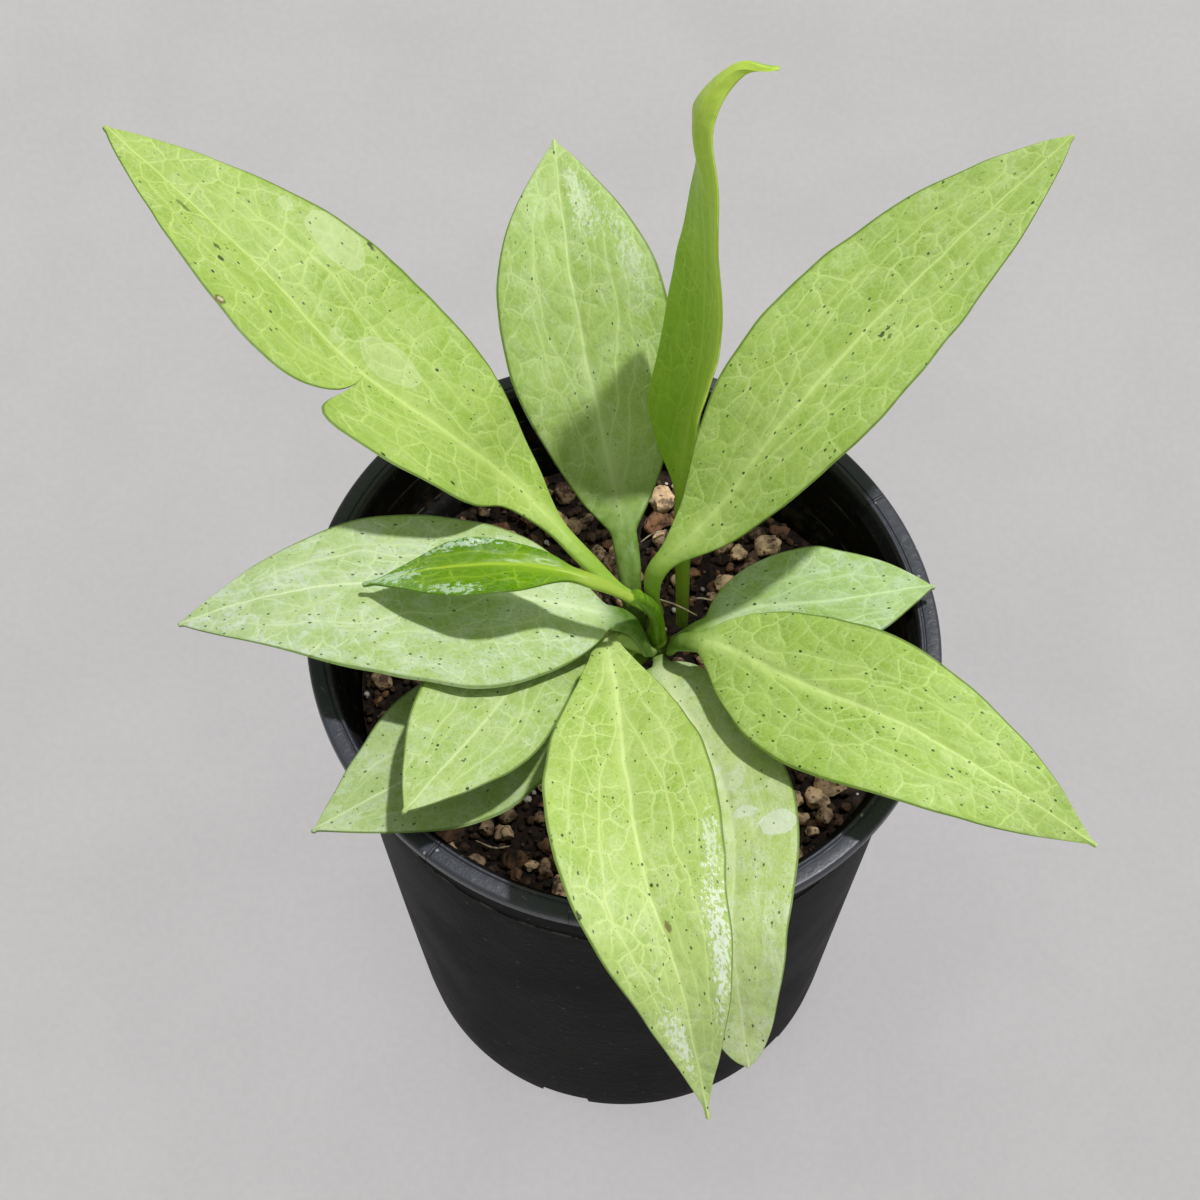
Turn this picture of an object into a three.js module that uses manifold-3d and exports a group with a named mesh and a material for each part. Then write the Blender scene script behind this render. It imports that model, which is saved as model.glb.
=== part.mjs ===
// A young hoya plant in a black nursery pot: pot, soil, stem with its green shoot, and twelve leaves.
// Millimetres, +Z up. The origin is the centre of the pot's flat underside, and the plant's front,
// where the largest leaf droops over the rim, faces -Y.
import * as THREE from 'three';
import { mergeVertices } from 'three/addons/utils/BufferGeometryUtils.js';
import Module from 'manifold-3d';

const wasm = await Module();
wasm.setup();

const DEG = Math.PI / 180;
const GAP = 0.3; // clearance kept between touching pieces
const SEED = 20;

// Driving dimensions of the moulded pot. Its rim is pressed slightly out of round.
const POT = {
  height: 110,
  rimRadius: 52.5, // outer edge of the flat rim
  rimWidth: 3.5, // across the rim's top face
  rimDrop: 2.2, // short skirt under the rim's outer edge
  neckRadius: 48.8, // outer wall just under the rim
  baseRadius: 37.5,
  wall: 1.3,
  floor: 2.0,
  shoulderHeight: 93, // the wall stands steeper above it, and has a ledge inside
  shoulderRadius: 48,
  shoulderDepth: 1.6,
  shoulderBlend: 12, // height over which the inside thickens to the ledge's depth
  ovalAlong: -0.013, // out of round along X and Y, as a part of the radius
  ovalAcross: -0.025, // out of round along the diagonals
  segments: 60,
};

// Gaps between the pot's six feet, where water drains.
const DRAIN = { count: 6, firstAngle: -106.5, width: 9.5, height: 2.7, innerRadius: 31 };

const SOIL = {
  level: 90, // 20 mm under the rim
  bottom: 2.9,
  rings: 6,
  wave: 0.9,
  bank: { rise: 5, from: 34, to: 47 }, // pushed up against the right wall
  front: { rise: 2.5, from: 20, to: 46 }, // and a little at the front
  pellets: 96,
  smallestPellet: 1.6,
  largestPellet: 3,
  pelletLift: 0.1, // how far a pellet's centre lies over the soil, as a part of its radius
  clearOfStem: 7.5, // no pellets nearer than this to the stem
  clearOfCurledStalk: 6,
  holeDepth: 12,
};

// The stem stands in the soil and bends to the left and forward as a green shoot.
const STEM = {
  route: [
    [5.4, 7.8, 80],
    [5.4, 7.6, 90],
    [5.5, 7.2, 97],
    [5.4, 6.4, 103],
    [4.7, 4.8, 109],
    [3.3, 2.8, 115],
    [1.6, 0.7, 120.2],
  ],
  rootRadius: 2,
  shootRadius: 1.25,
  hole: 2.5,
  sides: 10,
  steps: 22,
  slimFrom: 0.25, // where it starts to slim to the shoot's radius, as a part of its length
  slimTo: 0.6,
  nodes: [0.3, 0.42, 0.55, 0.97], // places along the stem where leaves join, slightly swollen
  swelling: 0.22,
  swellingReach: 0.025,
};
const CURLED_STALK_HOLE = 2.3;

// Blade: half thickness at the rib and at the margin. Stalk: half width and half height.
const LEAF = {
  ribHalf: 0.75,
  marginHalf: 0.36,
  stalkHalfWidth: 1.8,
  stalkHalfHeight: 1.25,
  stalkRoot: 0.68, // the stalk's width at the stem, as a part of its full width
  stalkFade: 0.45, // where the stalk has merged into the blade, as a part of the blade's length
  leastHalfWidth: 0.35,
  leastHalfHeight: 0.32,
  keel: 0.45, // how far the rib stands out under the blade
  ripple: 0.5, // how far the margins wave up and down
  ripples: 2.2, // how many waves there are along the blade
  rippleShift: 2, // how far the left margin's waves lag, in radians
  notchFloor: 0.03, // what is left of the width at the bottom of a notch
  steps: 22,
  across: [-1, -0.45, 0, 0.45, 1],
};

// Each leaf: the route of its rib from the stem to the tip; the length of its stalk; half the
// blade's width and where it is widest; how full its base and tip are; its right and left share;
// and its roll about the rib and the upward fold of its halves, in degrees, eased along the leaf.
const LEAVES = {
  leaf_upper_left: {
    rib: [[3.5, 7, 106.5], [-1, 8.5, 109], [-6, 12, 112.5], [-18.5, 21.5, 121.5],
      [-27.5, 23.5, 131.5], [-43.5, 31, 141], [-58, 43.5, 150], [-83.5, 66.5, 157]],
    stalk: 14, half: 17, widest: 0.46, fullness: [1.42, 0.84], right: 1.08, left: 0.95,
    roll: [-13], fold: [17], notch: { at: 0.45, before: 1.6, after: 18 },
  },
  leaf_back: {
    rib: [[2.8, 10.2, 95], [1.5, 10.4, 101], [0.8, 15.6, 106.8], [-1.6, 29.8, 108.2],
      [-5.8, 44.1, 121], [-9.1, 58.3, 132], [-11.5, 77.2, 139.4]],
    stalk: 18.5, half: 14.6, widest: 0.56, fullness: [0.72, 0.88], right: 1.06, left: 0.91,
    roll: [9], fold: [7],
  },
  leaf_back_curled: {
    rib: [[10, 13, 83], [10, 13.8, 91.4], [10, 20.2, 101.3], [10.1, 27.5, 114.2],
      [13.3, 38.5, 138.5], [12.6, 41.9, 172.7], [11.5, 44.5, 188.4], [17.2, 47, 195.9],
      [22.9, 46.2, 197.5]],
    stalk: 29, half: 9.7, widest: 0.16, fullness: [1.6, 0.84], right: 0.86, left: 1.15,
    roll: [39, 43, 69, 69, 72, 52], fold: [31, 25, 0, -39], heading: 90,
  },
  leaf_upper_right: {
    rib: [[5.8, 10.6, 98.5], [4.8, 9.9, 105.5], [5.6, 10.5, 112], [14.5, 15, 121.5],
      [26.5, 24, 137], [46, 40.5, 150], [71, 58.5, 165]],
    stalk: 15, half: 13.2, widest: 0.47, fullness: [0.88, 0.78], right: 0.94, left: 1.06,
    roll: [-12], fold: [14],
  },
  leaf_right_low: {
    rib: [[8.6, 8, 92.5], [13, 7, 98.5], [22, 7.5, 104.5], [34, 5.5, 110], [50.5, 6, 114]],
    stalk: 9, half: 10, widest: 0.49, fullness: [0.45, 0.9], right: 0.98, left: 1.02,
    roll: [-3], fold: [3],
  },
  leaf_right: {
    rib: [[8, 4.9, 95.5], [9.8, 2.8, 101.5], [16.5, -1.5, 107.5], [29, -14, 117], [44, -25.2, 124],
      [61, -36.2, 123], [74, -40.5, 113]],
    stalk: 11, half: 12.8, widest: 0.4, fullness: [0.65, 1], right: 1.03, left: 0.97,
    roll: [-20], fold: [4],
  },
  leaf_front: {
    rib: [[4.2, 3.9, 98], [1.4, 3, 101.8], [-1.5, 1.5, 105], [-1, -15, 116], [0.5, -34.5, 125],
      [3.5, -55, 129], [8.5, -69, 124], [13, -83, 105]],
    stalk: 8, half: 13.8, widest: 0.54, fullness: [1.14, 1.2], right: 1, left: 1,
    roll: [-2], fold: [14],
  },
  leaf_front_low: {
    rib: [[6.1, 4.5, 92.5], [8, -3.5, 97], [14, -19.5, 104], [17.5, -38, 111], [17, -57, 113.5],
      [19.5, -71.5, 98]],
    stalk: 6, half: 11.2, widest: 0.44, fullness: [0.42, 0.66], right: 1.07, left: 0.93,
    roll: [-8], fold: [4],
  },
  leaf_left_low: {
    rib: [[2.4, 7, 94], [-2.7, -0.9, 102.5], [-12.9, -5.6, 111.1], [-22.7, -22.5, 118],
      [-33.8, -40.2, 123.8]],
    stalk: 10, half: 10.9, widest: 0.56, fullness: [0.9, 1.08], right: 1.1, left: 0.9,
    roll: [6], fold: [7],
  },
  leaf_left_lowest: {
    rib: [[3, 5.6, 91.5], [-3.5, -2.5, 97], [-16.5, -10, 103.5], [-32, -26, 110.5],
      [-48.5, -39, 115]],
    stalk: 11, half: 13.2, widest: 0.51, fullness: [0.5, 1], right: 0.93, left: 1.07,
    roll: [3], fold: [3],
  },
  leaf_left: {
    rib: [[2.6, 6, 102], [0.4, 3.4, 106.5], [-3.5, 2, 111.5], [-21, 2, 118.5], [-39, 1.5, 122.5],
      [-55.5, -1, 123], [-71, -4.5, 120]],
    stalk: 10, half: 15.8, widest: 0.36, fullness: [0.7, 0.9], right: 0.81, left: 1.19,
    roll: [3], fold: [5],
  },
  leaf_young: {
    rib: [[0.9, -0.2, 121.4], [-4, -0.4, 125.9], [-13.1, 0.8, 128.8], [-26.1, 0.2, 129.8],
      [-41.2, -0.7, 126]],
    stalk: 7, half: 5.9, widest: 0.5, fullness: [1.02, 1.32], right: 0.85, left: 1.15,
    roll: [-3], fold: [13], stalkHalfWidth: 1.3,
  },
};

const COLOURS = {
  pot: { color: 0x1b1c1f, roughness: 0.45, metalness: 0 },
  soil: { color: 0x3a2920, roughness: 0.95, metalness: 0 },
  stem: { color: 0x5f8f24, roughness: 0.45, metalness: 0 },
  leaf: { color: 0x9cc45f, roughness: 0.5, metalness: 0 },
  youngLeaf: { color: 0x63b41c, roughness: 0.2, metalness: 0 },
};

// --- small mathematics ---------------------------------------------------------------------

function smoothstep(low, high, value) {
  const t = THREE.MathUtils.clamp((value - low) / (high - low), 0, 1);
  return t * t * (3 - 2 * t);
}

// A value eased between evenly spaced stops along t = 0..1.
function eased(stops, t) {
  if (stops.length === 1) return stops[0];
  const place = t * (stops.length - 1);
  const index = Math.min(Math.floor(place), stops.length - 2);
  return THREE.MathUtils.lerp(stops[index], stops[index + 1], smoothstep(0, 1, place - index));
}

// A repeatable random draw from 0 to 1.
function seededRandom(seed) {
  let state = seed;
  return () => {
    state = (state * 1664525 + 1013904223) % 4294967296;
    return state / 4294967296;
  };
}

function routeCurve(points) {
  const places = points.map(([x, y, z]) => new THREE.Vector3(x, y, z));
  return new THREE.CatmullRomCurve3(places, false, 'centripetal');
}

// --- solids --------------------------------------------------------------------------------

// A closed solid through rings of points with one number of points each. Quads of the columns
// that mirrored() names are split the other way, so that two faces can match.
function loft(rings, mirrored = () => false) {
  const count = rings[0].length;
  const positions = rings.flat().flatMap((p) => [p.x, p.y, p.z]);
  const faces = [];
  for (let i = 0; i < rings.length - 1; i += 1) {
    for (let j = 0; j < count; j += 1) {
      const next = (j + 1) % count;
      const a = i * count + j;
      const b = i * count + next;
      const c = a + count;
      const d = b + count;
      if (mirrored(j)) faces.push(a, b, c, b, d, c);
      else faces.push(a, b, d, a, d, c);
    }
  }
  for (const [ring, forward] of [[0, false], [rings.length - 1, true]]) {
    const centre = rings[ring].reduce((sum, p) => sum.add(p), new THREE.Vector3());
    centre.divideScalar(count);
    const hub = positions.length / 3;
    positions.push(centre.x, centre.y, centre.z);
    for (let j = 0; j < count; j += 1) {
      const a = ring * count + j;
      const b = ring * count + ((j + 1) % count);
      if (forward) faces.push(hub, a, b);
      else faces.push(hub, b, a);
    }
  }
  const geometry = new THREE.BufferGeometry();
  geometry.setAttribute('position', new THREE.Float32BufferAttribute(positions, 3));
  geometry.setIndex(faces);
  return geometry;
}

function toSolid(geometry) {
  const bare = geometry.clone();
  bare.deleteAttribute('normal');
  bare.deleteAttribute('uv');
  const merged = mergeVertices(bare, 1e-4);
  return new wasm.Manifold(new wasm.Mesh({
    numProp: 3,
    vertProperties: new Float32Array(merged.attributes.position.array),
    triVerts: new Uint32Array(merged.index.array),
  }));
}

function toGeometry(solid) {
  const mesh = solid.getMesh();
  const geometry = new THREE.BufferGeometry();
  geometry.setAttribute('position', new THREE.BufferAttribute(mesh.vertProperties, 3));
  geometry.setIndex(new THREE.BufferAttribute(mesh.triVerts, 1));
  return geometry;
}

// --- pot -----------------------------------------------------------------------------------

// How much the pot's wall is pressed out of round at an angle and height.
function ovalFactor(angle, z) {
  const grown = smoothstep(0, POT.height, z);
  const along = POT.ovalAlong * Math.cos(2 * angle);
  return 1 + grown * (along + POT.ovalAcross * Math.sin(2 * angle));
}

function pressOval(geometry) {
  const position = geometry.attributes.position;
  for (let i = 0; i < position.count; i += 1) {
    const x = position.getX(i);
    const y = position.getY(i);
    const factor = ovalFactor(Math.atan2(y, x), position.getZ(i));
    position.setXY(i, x * factor, y * factor);
  }
  return geometry;
}

// The outer wall's radius at a height, before the rim is pressed out of round.
function outerRadius(z) {
  const { baseRadius, shoulderRadius, shoulderHeight, neckRadius, height } = POT;
  if (z < shoulderHeight) {
    return THREE.MathUtils.lerp(baseRadius, shoulderRadius, z / shoulderHeight);
  }
  const share = (z - shoulderHeight) / (height - shoulderHeight);
  return THREE.MathUtils.lerp(shoulderRadius, neckRadius, share);
}

function innerRadius(z) {
  const ledge = z < POT.shoulderHeight ? POT.shoulderDepth : 0;
  return outerRadius(z) - POT.wall - ledge * smoothstep(0, POT.shoulderBlend, z);
}

function potGeometry() {
  const { height, rimRadius, rimWidth, rimDrop, baseRadius, floor } = POT;
  const lip = rimRadius - rimWidth;
  const neck = height - rimDrop - 1.2;
  const profile = [
    [0, 0],
    [baseRadius - 1, 0],
    [baseRadius, 0.8],
    [outerRadius(30), 30],
    [outerRadius(60), 60],
    [POT.shoulderRadius, POT.shoulderHeight],
    [outerRadius(neck), neck],
    [outerRadius(neck) + 0.6, height - rimDrop],
    [rimRadius - 0.3, height - rimDrop],
    [rimRadius, height - rimDrop + 0.5],
    [rimRadius, height - 0.4],
    [rimRadius - 0.5, height],
    [lip + 1.1, height],
    [lip + 0.8, height - 0.25],
    [lip + 0.5, height + 0.1],
    [lip, height - 0.1],
    [innerRadius(104), 104],
    [innerRadius(POT.shoulderHeight + 0.6), POT.shoulderHeight + 0.6],
    [innerRadius(POT.shoulderHeight - 0.1), POT.shoulderHeight],
    [innerRadius(50), 50],
    [innerRadius(POT.shoulderBlend), POT.shoulderBlend],
    [innerRadius(floor + 2), floor + 2],
    [innerRadius(floor) - 1.5, floor],
    [0, floor],
  ];
  const points = profile.map(([r, z]) => new THREE.Vector2(r, z));
  const lathe = new THREE.LatheGeometry(points, POT.segments);
  lathe.rotateX(Math.PI / 2);
  pressOval(lathe);
  let solid = toSolid(lathe);
  const depth = baseRadius + 3 - DRAIN.innerRadius;
  for (let i = 0; i < DRAIN.count; i += 1) {
    const cut = new THREE.BoxGeometry(depth, DRAIN.width, DRAIN.height * 2);
    cut.translate(DRAIN.innerRadius + depth / 2, 0, 0);
    cut.rotateZ((DRAIN.firstAngle + (i * 360) / DRAIN.count) * DEG);
    solid = solid.subtract(toSolid(cut));
  }
  return toGeometry(solid);
}

// --- soil ----------------------------------------------------------------------------------

// The uneven top of the soil: low round the stem, and pushed up against the right wall.
function soilHeight(x, y) {
  const waves = Math.sin(x * 0.13 + 1.3) * Math.cos(y * 0.16) + 0.4 * Math.sin(x * 0.27 - y * 0.24);
  const bank = SOIL.bank.rise * smoothstep(SOIL.bank.from, SOIL.bank.to, x);
  const front = SOIL.front.rise * smoothstep(SOIL.front.from, SOIL.front.to, -y);
  return SOIL.level + SOIL.wave * waves + bank + front;
}

function soilRadius(angle, z) {
  return (innerRadius(z) - GAP) * ovalFactor(angle, z);
}

function soilBody() {
  const rings = [];
  const ringAt = (height, share) => {
    const ring = [];
    for (let j = 0; j < POT.segments; j += 1) {
      const angle = (j * 2 * Math.PI) / POT.segments;
      const edge = height ?? SOIL.level;
      const r = soilRadius(angle, edge) * share;
      const x = r * Math.cos(angle);
      const y = r * Math.sin(angle);
      ring.push(new THREE.Vector3(x, y, height ?? soilHeight(x, y)));
    }
    return ring;
  };
  rings.push(ringAt(SOIL.bottom, 0.05), ringAt(SOIL.bottom, 0.9), ringAt(SOIL.bottom + 2, 1));
  rings.push(ringAt(12, 1), ringAt(50, 1), ringAt(84, 1));
  for (let i = 0; i < SOIL.rings; i += 1) {
    rings.push(ringAt(null, i === 0 ? 0.995 : 1 - i / SOIL.rings));
  }
  return toSolid(loft(rings));
}

// One rounded, uneven pellet of pumice or bark, its root well sunk in the soil.
function pellet(random, x, y, size) {
  const shape = new THREE.IcosahedronGeometry(size, 0);
  shape.scale(1, 0.75 + 0.3 * random(), 0.7 + 0.25 * random());
  shape.rotateX(random() * Math.PI);
  shape.rotateZ(random() * Math.PI * 2);
  shape.translate(x, y, soilHeight(x, y) + size * SOIL.pelletLift);
  return toSolid(shape);
}

function soilGeometry() {
  const random = seededRandom(SEED);
  let solid = soilBody();
  const golden = Math.PI * (3 - Math.sqrt(5));
  const [stemX, stemY] = STEM.route[1];
  const [curledX, curledY] = LEAVES.leaf_back_curled.rib[0];
  for (let k = 0; k < SOIL.pellets; k += 1) {
    const angle = k * golden + (random() - 0.5) * 0.5;
    const size = THREE.MathUtils.lerp(SOIL.smallestPellet, SOIL.largestPellet, random() ** 1.6);
    const reach = soilRadius(angle, SOIL.level) - size;
    const r = reach * Math.sqrt((k + 0.5) / SOIL.pellets);
    const x = r * Math.cos(angle);
    const y = r * Math.sin(angle);
    const clear = Math.hypot(x - stemX, y - stemY) > SOIL.clearOfStem
      && Math.hypot(x - curledX, y - curledY) > SOIL.clearOfCurledStalk;
    if (clear) solid = solid.add(pellet(random, x, y, size));
  }
  for (const [x, y, radius] of [[stemX, stemY, STEM.hole], [curledX, curledY, CURLED_STALK_HOLE]]) {
    const hole = new THREE.CylinderGeometry(radius, radius, 2 * SOIL.holeDepth, 16);
    hole.rotateX(Math.PI / 2);
    hole.translate(x, y, SOIL.level);
    solid = solid.subtract(toSolid(hole));
  }
  return toGeometry(solid);
}

// --- stem ----------------------------------------------------------------------------------

function stemRadius(t) {
  const slimmed = smoothstep(STEM.slimFrom, STEM.slimTo, t);
  const plain = THREE.MathUtils.lerp(STEM.rootRadius, STEM.shootRadius, slimmed);
  const bulge = (at) => Math.exp(-(((t - at) / STEM.swellingReach) ** 2));
  return plain + STEM.swelling * STEM.nodes.reduce((sum, at) => sum + bulge(at), 0);
}

function stemGeometry() {
  const curve = routeCurve(STEM.route);
  const rings = [];
  for (let i = 0; i <= STEM.steps; i += 1) {
    const t = i / STEM.steps;
    const centre = curve.getPointAt(t);
    const along = curve.getTangentAt(t);
    const across = new THREE.Vector3(0, 1, 0).addScaledVector(along, -along.y).normalize();
    const other = new THREE.Vector3().crossVectors(along, across);
    const ring = [];
    for (let j = 0; j < STEM.sides; j += 1) {
      const angle = (j * 2 * Math.PI) / STEM.sides;
      const point = centre.clone();
      point.addScaledVector(across, Math.cos(angle) * stemRadius(t));
      point.addScaledVector(other, Math.sin(angle) * stemRadius(t));
      ring.push(point);
    }
    rings.push(ring);
  }
  return loft(rings);
}

// --- leaves --------------------------------------------------------------------------------

// Half the blade's width as a part of its greatest, from its base at s = 0 to its tip at s = 1.
function bladeShare(leaf, s) {
  const u = THREE.MathUtils.clamp(s, 0, 1);
  if (u < leaf.widest) return Math.sin(((Math.PI / 2) * u) / leaf.widest) ** leaf.fullness[0];
  const rest = (u - leaf.widest) / (1 - leaf.widest);
  return Math.max(Math.cos((Math.PI / 2) * rest), 0) ** leaf.fullness[1];
}

// A torn notch in the left margin: full before it, and rising again after it as a quarter round.
function notchShare(leaf, s, bladeLength) {
  if (!leaf.notch) return 1;
  const past = (s - leaf.notch.at) * bladeLength;
  const reach = past < 0 ? -past / leaf.notch.before : past / leaf.notch.after;
  const open = Math.sqrt(1 - (1 - THREE.MathUtils.clamp(reach, 0, 1)) ** 2);
  return LEAF.notchFloor + (1 - LEAF.notchFloor) * open;
}

// The places of a leaf's sections along it, closer together at a notch.
function leafStations(leaf, stalkShare) {
  const places = [];
  for (let i = 0; i <= LEAF.steps; i += 1) places.push(i / LEAF.steps);
  if (leaf.notch) {
    const at = stalkShare + (1 - stalkShare) * leaf.notch.at;
    const near = [-0.016, -0.009, -0.003, 0, 0.006, 0.018];
    const kept = places.filter((t) => Math.abs(t - at) > 0.022);
    return [...kept, ...near.map((step) => at + step)].sort((a, b) => a - b);
  }
  return places;
}

// One section of a leaf: a ring over the top face from left to right and back underneath.
function leafSection(leaf, curve, t) {
  const length = curve.getLength();
  const stalkShare = leaf.stalk / length;
  const s = (t - stalkShare) / (1 - stalkShare);
  const centre = curve.getPointAt(t);
  const along = curve.getTangentAt(t);
  const start = curve.getPointAt(0);
  const end = curve.getPointAt(1);
  const heading = leaf.heading === undefined
    ? Math.atan2(end.y - start.y, end.x - start.x)
    : leaf.heading * DEG;
  const level = new THREE.Vector3(Math.sin(heading), -Math.cos(heading), 0);
  const flat = level.addScaledVector(along, -level.dot(along)).normalize();
  const up = new THREE.Vector3().crossVectors(flat, along);
  const roll = eased(leaf.roll, t) * DEG;
  const side = flat.clone().multiplyScalar(Math.cos(roll)).addScaledVector(up, Math.sin(roll));
  up.multiplyScalar(Math.cos(roll)).addScaledVector(flat, -Math.sin(roll));

  const stalkWidth = leaf.stalkHalfWidth ?? LEAF.stalkHalfWidth;
  const narrow = THREE.MathUtils.lerp(LEAF.stalkRoot, 1, smoothstep(0, stalkShare, t));
  const stalk = stalkWidth * narrow * (1 - smoothstep(0, LEAF.stalkFade, s));
  const blade = leaf.half * bladeShare(leaf, s);
  const notch = notchShare(leaf, s, length - leaf.stalk);
  const merge = (width) => Math.max(Math.cbrt(width ** 3 + stalk ** 3), LEAF.leastHalfWidth);
  const halfLeft = merge(blade * leaf.left * notch);
  const halfRight = merge(blade * leaf.right);

  const fold = eased(leaf.fold, t) * DEG;
  const bladeness = smoothstep(-0.02, 0.25, s);
  const flatness = smoothstep(-0.12, 0.15, s);
  const stalkHeight = (LEAF.stalkHalfHeight * narrow * stalkWidth) / LEAF.stalkHalfWidth;
  const pointAt = (q, face) => {
    const width = (q < 0 ? halfLeft : halfRight) * q;
    const raised = Math.sin(fold) * (Math.hypot(width, 1) - 1);
    const phase = LEAF.ripples * 2 * Math.PI * s + (q < 0 ? LEAF.rippleShift : 0);
    const ripple = LEAF.ripple * Math.sin(phase) * q * q * Math.sin(Math.PI * Math.max(s, 0));
    const marginHalf = Math.min(LEAF.marginHalf, stalkHeight);
    const bladeHalf = marginHalf + (LEAF.ribHalf - marginHalf) * (1 - Math.abs(q)) ** 1.5;
    const stalkHalf = Math.max(stalkHeight * Math.sqrt(1 - q * q), LEAF.leastHalfHeight);
    const keel = face < 0 ? LEAF.keel * Math.exp(-width * width) * (1 - Math.max(s, 0)) : 0;
    const half = THREE.MathUtils.lerp(stalkHalf, bladeHalf + keel, flatness);
    const point = centre.clone().addScaledVector(side, width * Math.cos(fold));
    return point.addScaledVector(up, (raised + ripple) * bladeness + face * half);
  };
  const top = LEAF.across.map((q) => pointAt(q, 1));
  const under = LEAF.across.map((q) => pointAt(q, -1)).reverse();
  return [...under, ...top];
}

function leafGeometry(leaf) {
  const curve = routeCurve(leaf.rib);
  const stalkShare = leaf.stalk / curve.getLength();
  const rings = leafStations(leaf, stalkShare).map((t) => leafSection(leaf, curve, t));
  return loft(rings, (column) => column < LEAF.across.length);
}

// --- the plant -----------------------------------------------------------------------------

function piece(name, geometry, finish) {
  geometry.computeVertexNormals();
  const mesh = new THREE.Mesh(geometry, new THREE.MeshStandardMaterial(finish));
  mesh.name = name;
  return mesh;
}

const plant = new THREE.Group();
plant.add(piece('pot', potGeometry(), COLOURS.pot));
plant.add(piece('soil', soilGeometry(), COLOURS.soil));
plant.add(piece('stem', stemGeometry(), COLOURS.stem));
for (const [name, leaf] of Object.entries(LEAVES)) {
  const finish = name === 'leaf_young' ? COLOURS.youngLeaf : COLOURS.leaf;
  plant.add(piece(name, leafGeometry(leaf), finish));
}

export default plant;
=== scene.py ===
"""The looks of a young hoya in a black nursery pot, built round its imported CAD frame."""
import logging
import math
from dataclasses import dataclass, field, replace
from enum import Enum
from functools import cached_property

import bmesh
import bpy
import numpy as np
from mathutils import Matrix, Vector, noise


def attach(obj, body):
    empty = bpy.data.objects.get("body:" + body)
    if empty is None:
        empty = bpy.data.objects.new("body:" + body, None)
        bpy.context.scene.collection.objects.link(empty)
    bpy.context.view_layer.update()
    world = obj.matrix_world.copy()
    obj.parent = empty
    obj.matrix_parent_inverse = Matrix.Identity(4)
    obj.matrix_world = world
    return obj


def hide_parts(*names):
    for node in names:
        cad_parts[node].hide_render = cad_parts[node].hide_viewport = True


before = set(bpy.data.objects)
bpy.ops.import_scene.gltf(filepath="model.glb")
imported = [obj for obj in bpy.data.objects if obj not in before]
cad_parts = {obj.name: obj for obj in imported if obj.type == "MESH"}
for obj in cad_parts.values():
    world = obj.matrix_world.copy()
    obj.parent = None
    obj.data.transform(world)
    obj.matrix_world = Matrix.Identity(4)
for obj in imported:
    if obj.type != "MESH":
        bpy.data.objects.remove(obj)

LOG = logging.getLogger("potted_hoya")
MM = 0.001
BODY = "root"
SEED = 20

Array = np.ndarray
Colour = tuple[float, float, float]
Point = tuple[float, float, float]
Spot = tuple[float, float, float]
Reach = tuple[float, float]
Faces = list[tuple[int, ...]]
Piece = bpy.types.Object
Node = bpy.types.Node
Socket = bpy.types.NodeSocket
Sockets = dict[str, Socket]
Value = float | Colour | Socket
Inputs = dict[str, Value]


# --- small mathematics ---


def smoothstep(low: float, high: float, value: Array) -> Array:
    """A smooth rise from 0, where the value is low, to 1, where it is high."""
    share = np.clip((value - low) / (high - low), 0.0, 1.0)
    return share * share * (3.0 - 2.0 * share)


def eased(stops: tuple[float, ...], share: Array) -> Array:
    """Eases between evenly spaced stops.

    Args:
        stops: One or more values, evenly spaced from share 0 to 1.
        share: Places from 0 to 1.

    Returns:
        The value at each place.
    """
    values = np.array(stops, float)
    if len(values) == 1:
        return np.full(share.shape, values[0])
    place = share * (len(values) - 1)
    index = np.minimum(place.astype(int), len(values) - 2)
    part = smoothstep(0.0, 1.0, place - index)
    return values[index] * (1 - part) + values[index + 1] * part


def lift_noise(points: Array, scale: float, seed: float) -> Array:
    """Smooth noise from about -1 to 1 at each point: scale is one swell, and seed moves it."""
    shift = Vector((seed * 17.3, seed * 5.1, seed * 9.7))
    return np.array([noise.noise(Vector(point) / scale + shift) for point in points])


def unit(rows: Array) -> Array:
    """Rows brought to length one."""
    return rows / np.linalg.norm(rows, axis=1)[:, None]


def read_off(wanted: Array, known: Array, rows: Array) -> Array:
    """Rows of three read off at the wanted places between the known ones."""
    return np.stack([np.interp(wanted, known, rows[:, k]) for k in range(3)], -1)


def ring(radius: Array, angle: Array, height: float | Array) -> Array:
    """Points round the Z axis, from their radii, angles and heights."""
    return np.stack([radius * np.cos(angle), radius * np.sin(angle), height + np.zeros_like(angle)], -1)


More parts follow.
